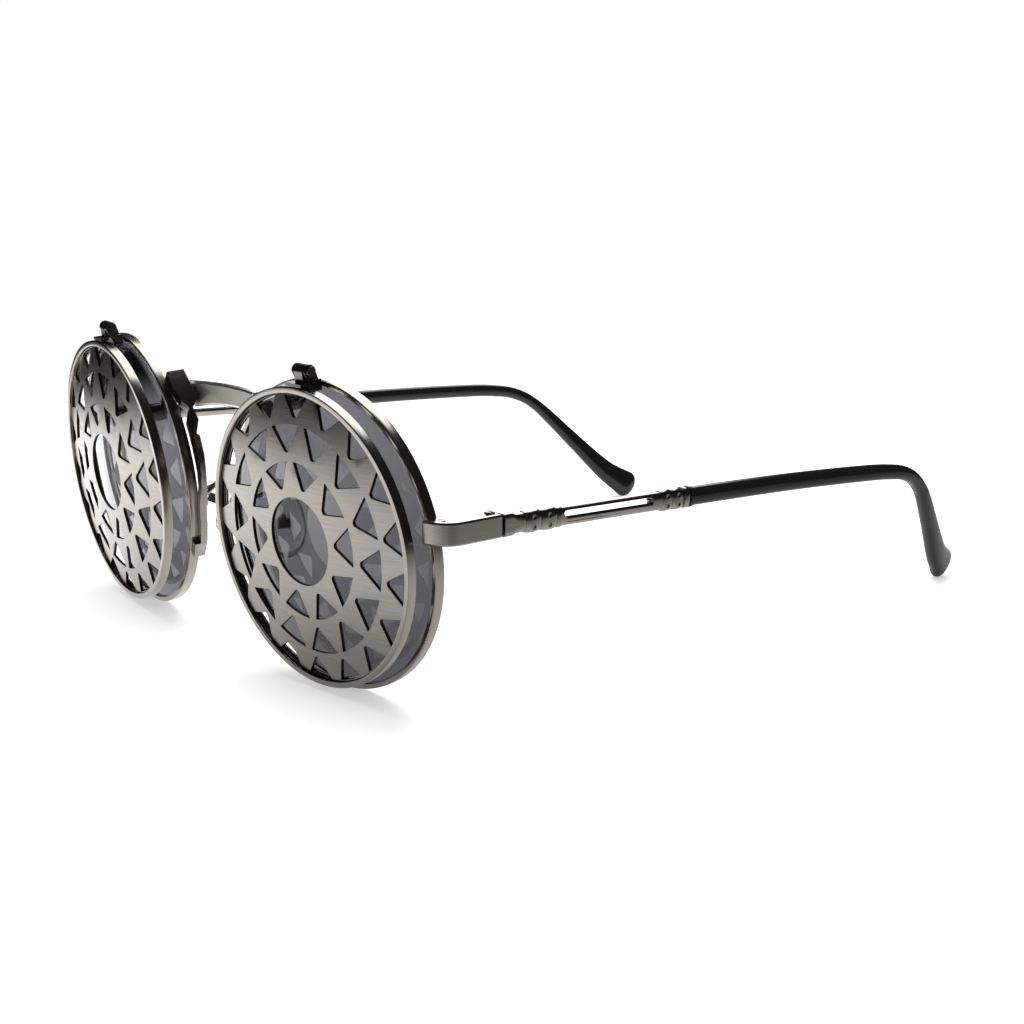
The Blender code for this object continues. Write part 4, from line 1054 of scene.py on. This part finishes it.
for hand in (1, -1):
    build_rim(hand)
    build_lens(hand)
    build_cover(hand)
    build_temple(hand)
    build_tip(hand)
    build_pad(hand)
    label = side_name(hand)
    dressed(f"end_piece_{label}", "frame", METAL, width=0.12)
    dressed(f"flip_base_{label}", "frame", SCREW, width=0.1)
    dressed(f"flip_leaf_{label}", f"cover_{label}_body", SCREW, width=0.08)
    dressed(f"pad_arm_{label}", "frame", METAL, width=0.04)
    for screw in ("flip_screw", "rim_screw", "temple_screw", "pad_screw"):
        dressed(f"{screw}_{label}", "frame", SCREW, width=0.05)
bridge = dressed("bridge", "frame", METAL, width=0.12, shape=lean_bar)
# The bar's front faces take this second material, which is painted lighter as painted light
bridge.data.materials.append(SATIN_BAR_PAINTED_LIGHT)


# Stage, in metres

FILL_LIGHT = 0.55
ROOM_IN_METAL = 0.02
WHITE = 1.0
FLOOR_HALF = 12.0
FLOOR_DROP = 0.00005
FLOOR_COLOUR = 0.86
FLOOR_LIFT = 0.42
FLOOR_FADE = (0.16, 0.34)
# The floor as the metal sees it: how fast it changes with distance to each side, and its shade by the fronts
SLOPE_LEFT = -4.5
SLOPE_RIGHT = -3.8
SLOPE_BEHIND = -2.0
BEHIND_FROM = 0.05
FRONTS_Y = 0.075
SHADE_REACH = 0.045
SHADE_SIDE = 0.03
SHADE = -0.40
OPEN_LEVEL = 0.88
LEVEL_RANGE = (0.25, 2.0)
LEVEL_EDGE = (0.20, 0.32)
LEVEL_SHARE = 0.6
BRIGHTEST_SHEET = 0.95
PANEL_LIGHT = 3.0
BACK_PANEL = (
    (-0.80, 0.40, 0.0),
    (-0.45, 0.40, 0.0),
    (0.08, 0.40, 0.73),
    (0.08, 0.40, 0.80),
    (-0.80, 0.40, 0.80),
)
TOP_PANEL = (
    (-0.80, 0.40, 0.80),
    (0.08, 0.40, 0.80),
    (-0.045, 0.22, 0.80),
    (-0.045, -0.02, 0.80),
    (-0.80, -0.02, 0.80),
)


def cleared(name):
    """A new material with an empty node tree."""
    made = bpy.data.materials.new(name)
    made.use_nodes = True
    made.node_tree.nodes.clear()
    return made, made.node_tree


def eased_range(tree, value, low, high):
    node = add(tree, "ShaderNodeMapRange", interpolation_type="SMOOTHSTEP")
    node.inputs["From Min"].default_value = low
    node.inputs["From Max"].default_value = high
    tree.links.new(value, node.inputs["Value"])
    return node.outputs["Result"]


def glow(tree, strength):
    node = add(tree, "ShaderNodeEmission")
    if isinstance(strength, (int, float)):
        node.inputs["Strength"].default_value = strength
    else:
        tree.links.new(strength, node.inputs["Strength"])
    return node.outputs["Emission"]


def blended(tree, share, first, second):
    node = add(tree, "ShaderNodeMixShader")
    tree.links.new(share, node.inputs["Fac"])
    tree.links.new(first, node.inputs[1])
    tree.links.new(second, node.inputs[2])
    return node.outputs["Shader"]


def summed(tree, first, second):
    node = add(tree, "ShaderNodeAddShader")
    tree.links.new(first, node.inputs[0])
    tree.links.new(second, node.inputs[1])
    return node.outputs["Shader"]


def ray_kinds(tree):
    """Whether a ray comes from the eye, straight or through glass, and whether it is a mirrored one."""
    path = add(tree, "ShaderNodeLightPath")
    seen = math_node(tree, "MAXIMUM", path.outputs["Is Camera Ray"], path.outputs["Is Transmission Ray"])
    return seen, path.outputs["Is Glossy Ray"]


def build_world():
    """White to the eye, a dark room in the metal, and a plain fill light on the rest."""
    world = bpy.data.worlds.new("studio")
    bpy.context.scene.world = world
    world.use_nodes = True
    tree = world.node_tree
    tree.nodes.clear()
    seen, glossy = ray_kinds(tree)
    skies = []
    for strength in (FILL_LIGHT, ROOM_IN_METAL, WHITE):
        sky = add(tree, "ShaderNodeBackground", Color=(1, 1, 1, 1), Strength=strength)
        skies.append(sky.outputs["Background"])
    unseen = blended(tree, glossy, skies[0], skies[1])
    out = add(tree, "ShaderNodeOutputWorld")
    tree.links.new(blended(tree, seen, unseen, skies[2]), out.inputs["Surface"])


def floor_level(tree, x, y, away):
    """The floor in the metal: brightest to the left, dim to the right, behind and by the fronts."""
    left = math_node(tree, "MULTIPLY", math_node(tree, "MINIMUM", x, 0.0), SLOPE_LEFT)
    right = math_node(tree, "MULTIPLY", math_node(tree, "MAXIMUM", x, 0.0), SLOPE_RIGHT)
    behind = math_node(tree, "MAXIMUM", math_node(tree, "ADD", y, BEHIND_FROM), 0.0)
    behind = math_node(tree, "MULTIPLY", behind, SLOPE_BEHIND)
    slope = math_node(tree, "ADD", math_node(tree, "ADD", left, right), behind)
    beside = math_node(tree, "ABSOLUTE", math_node(tree, "ADD", y, FRONTS_Y), 0.0)
    close = math_node(tree, "SUBTRACT", 1.0, eased_range(tree, beside, 0.0, SHADE_REACH))
    close = math_node(tree, "MULTIPLY", close, eased_range(tree, x, -SHADE_SIDE, SHADE_SIDE))
    shaded = math_node(tree, "ADD", math_node(tree, "MULTIPLY", close, SHADE), OPEN_LEVEL)
    level = math_node(tree, "MULTIPLY", math_node(tree, "ADD", slope, 1.0), shaded)
    level = math_node(tree, "MAXIMUM", level, LEVEL_RANGE[0])
    level = math_node(tree, "MINIMUM", level, LEVEL_RANGE[1])
    edge = math_node(tree, "SUBTRACT", 1.0, eased_range(tree, away, *LEVEL_EDGE))
    return math_node(tree, "ADD", math_node(tree, "MULTIPLY", level, edge), ROOM_IN_METAL)


def build_floor():
    """A white table, with the shadow on it, that fades into white to the eye and into dark in the metal."""
    made, tree = cleared("white_floor")
    seen, glossy = ray_kinds(tree)
    place = add(tree, "ShaderNodeTexCoord").outputs["Object"]
    apart = add(tree, "ShaderNodeSeparateXYZ")
    tree.links.new(place, apart.inputs["Vector"])
    length = add(tree, "ShaderNodeVectorMath", operation="LENGTH")
    tree.links.new(place, length.inputs[0])
    away = length.outputs["Value"]
    matt = add(tree, "ShaderNodeBsdfDiffuse", Color=(FLOOR_COLOUR, FLOOR_COLOUR, FLOOR_COLOUR, 1))
    near = summed(tree, matt.outputs["BSDF"], glow(tree, math_node(tree, "MULTIPLY", seen, FLOOR_LIFT)))
    fade = math_node(tree, "MULTIPLY", seen, eased_range(tree, away, *FLOOR_FADE))
    to_the_eye = blended(tree, fade, near, glow(tree, WHITE))
    level = floor_level(tree, apart.outputs["X"], apart.outputs["Y"], away)
    level = math_node(tree, "MULTIPLY", level, LEVEL_SHARE)
    sheet = add(tree, "ShaderNodeBsdfDiffuse")
    tree.links.new(math_node(tree, "MINIMUM", level, BRIGHTEST_SHEET), sheet.inputs["Color"])
    in_metal = summed(tree, sheet.outputs["BSDF"], glow(tree, level))
    out = add(tree, "ShaderNodeOutputMaterial")
    tree.links.new(blended(tree, glossy, to_the_eye, in_metal), out.inputs["Surface"])
    mesh = bmesh.new()
    bmesh.ops.create_grid(mesh, x_segments=1, y_segments=1, size=FLOOR_HALF)
    data = bpy.data.meshes.new("floor")
    mesh.to_mesh(data)
    mesh.free()
    data.materials.append(made)
    floor = bpy.data.objects.new("floor", data)
    floor.location = (0, 0, -FLOOR_DROP)
    bpy.context.scene.collection.objects.link(floor)


def build_card(name, corners):
    """A lit panel beside the set that only metal and glass see."""
    made, tree = cleared(name)
    out = add(tree, "ShaderNodeOutputMaterial")
    tree.links.new(glow(tree, PANEL_LIGHT), out.inputs["Surface"])
    data = bpy.data.meshes.new(name)
    data.from_pydata(corners, [], [tuple(range(len(corners)))])
    data.materials.append(made)
    card = bpy.data.objects.new(name, data)
    card.visible_camera = False
    card.visible_diffuse = False
    card.visible_transmission = False
    card.visible_shadow = False
    card.visible_volume_scatter = False
    bpy.context.scene.collection.objects.link(card)


def build_lamp(name, centre, size, power):
    """A square lamp that faces the origin and doesn't show in the metal."""
    light = bpy.data.lights.new(name, "AREA")
    light.shape = "RECTANGLE"
    light.size = light.size_y = size
    light.energy = power
    lamp = bpy.data.objects.new(name, light)
    lamp.location = centre
    lamp.rotation_euler = (-Vector(centre)).to_track_quat("-Z", "Y").to_euler()
    lamp.visible_glossy = False
    bpy.context.scene.collection.objects.link(lamp)


build_world()
build_floor()
build_card("back_panel", BACK_PANEL)
build_card("top_panel", TOP_PANEL)
build_lamp("top_lamp", centre=(-0.25, 0.15, 0.9), size=0.9, power=9.0)


# Camera, at the photograph's place, from a fit to the round fronts and the temples

SENSOR_WIDTH = 36.0
FOCAL_LENGTH = 63.357
CAMERA_PLACE = (0.27736, -0.15233 - MIDDLE_BACK * MM, 0.095145)
CAMERA_RIGHT = (0.6157701645121726, 0.7879194059234913, 0.0031802933550978663)
CAMERA_UP = (-0.17715087254609554, 0.13451071153720484, 0.9749484277837018)
CAMERA_BACK = (0.7677530025032849, -0.6009075455100622, 0.22240829322727172)


def build_camera():
    data = bpy.data.cameras.new("camera")
    data.sensor_width = SENSOR_WIDTH
    data.lens = FOCAL_LENGTH
    data.clip_start = 0.01
    camera = bpy.data.objects.new("camera", data)
    turn = Matrix((CAMERA_RIGHT, CAMERA_UP, CAMERA_BACK)).transposed().to_4x4()
    camera.matrix_world = Matrix.Translation(CAMERA_PLACE) @ turn
    bpy.context.scene.collection.objects.link(camera)
    bpy.context.scene.camera = camera


build_camera()
bpy.context.scene.view_settings.view_transform = "Standard"
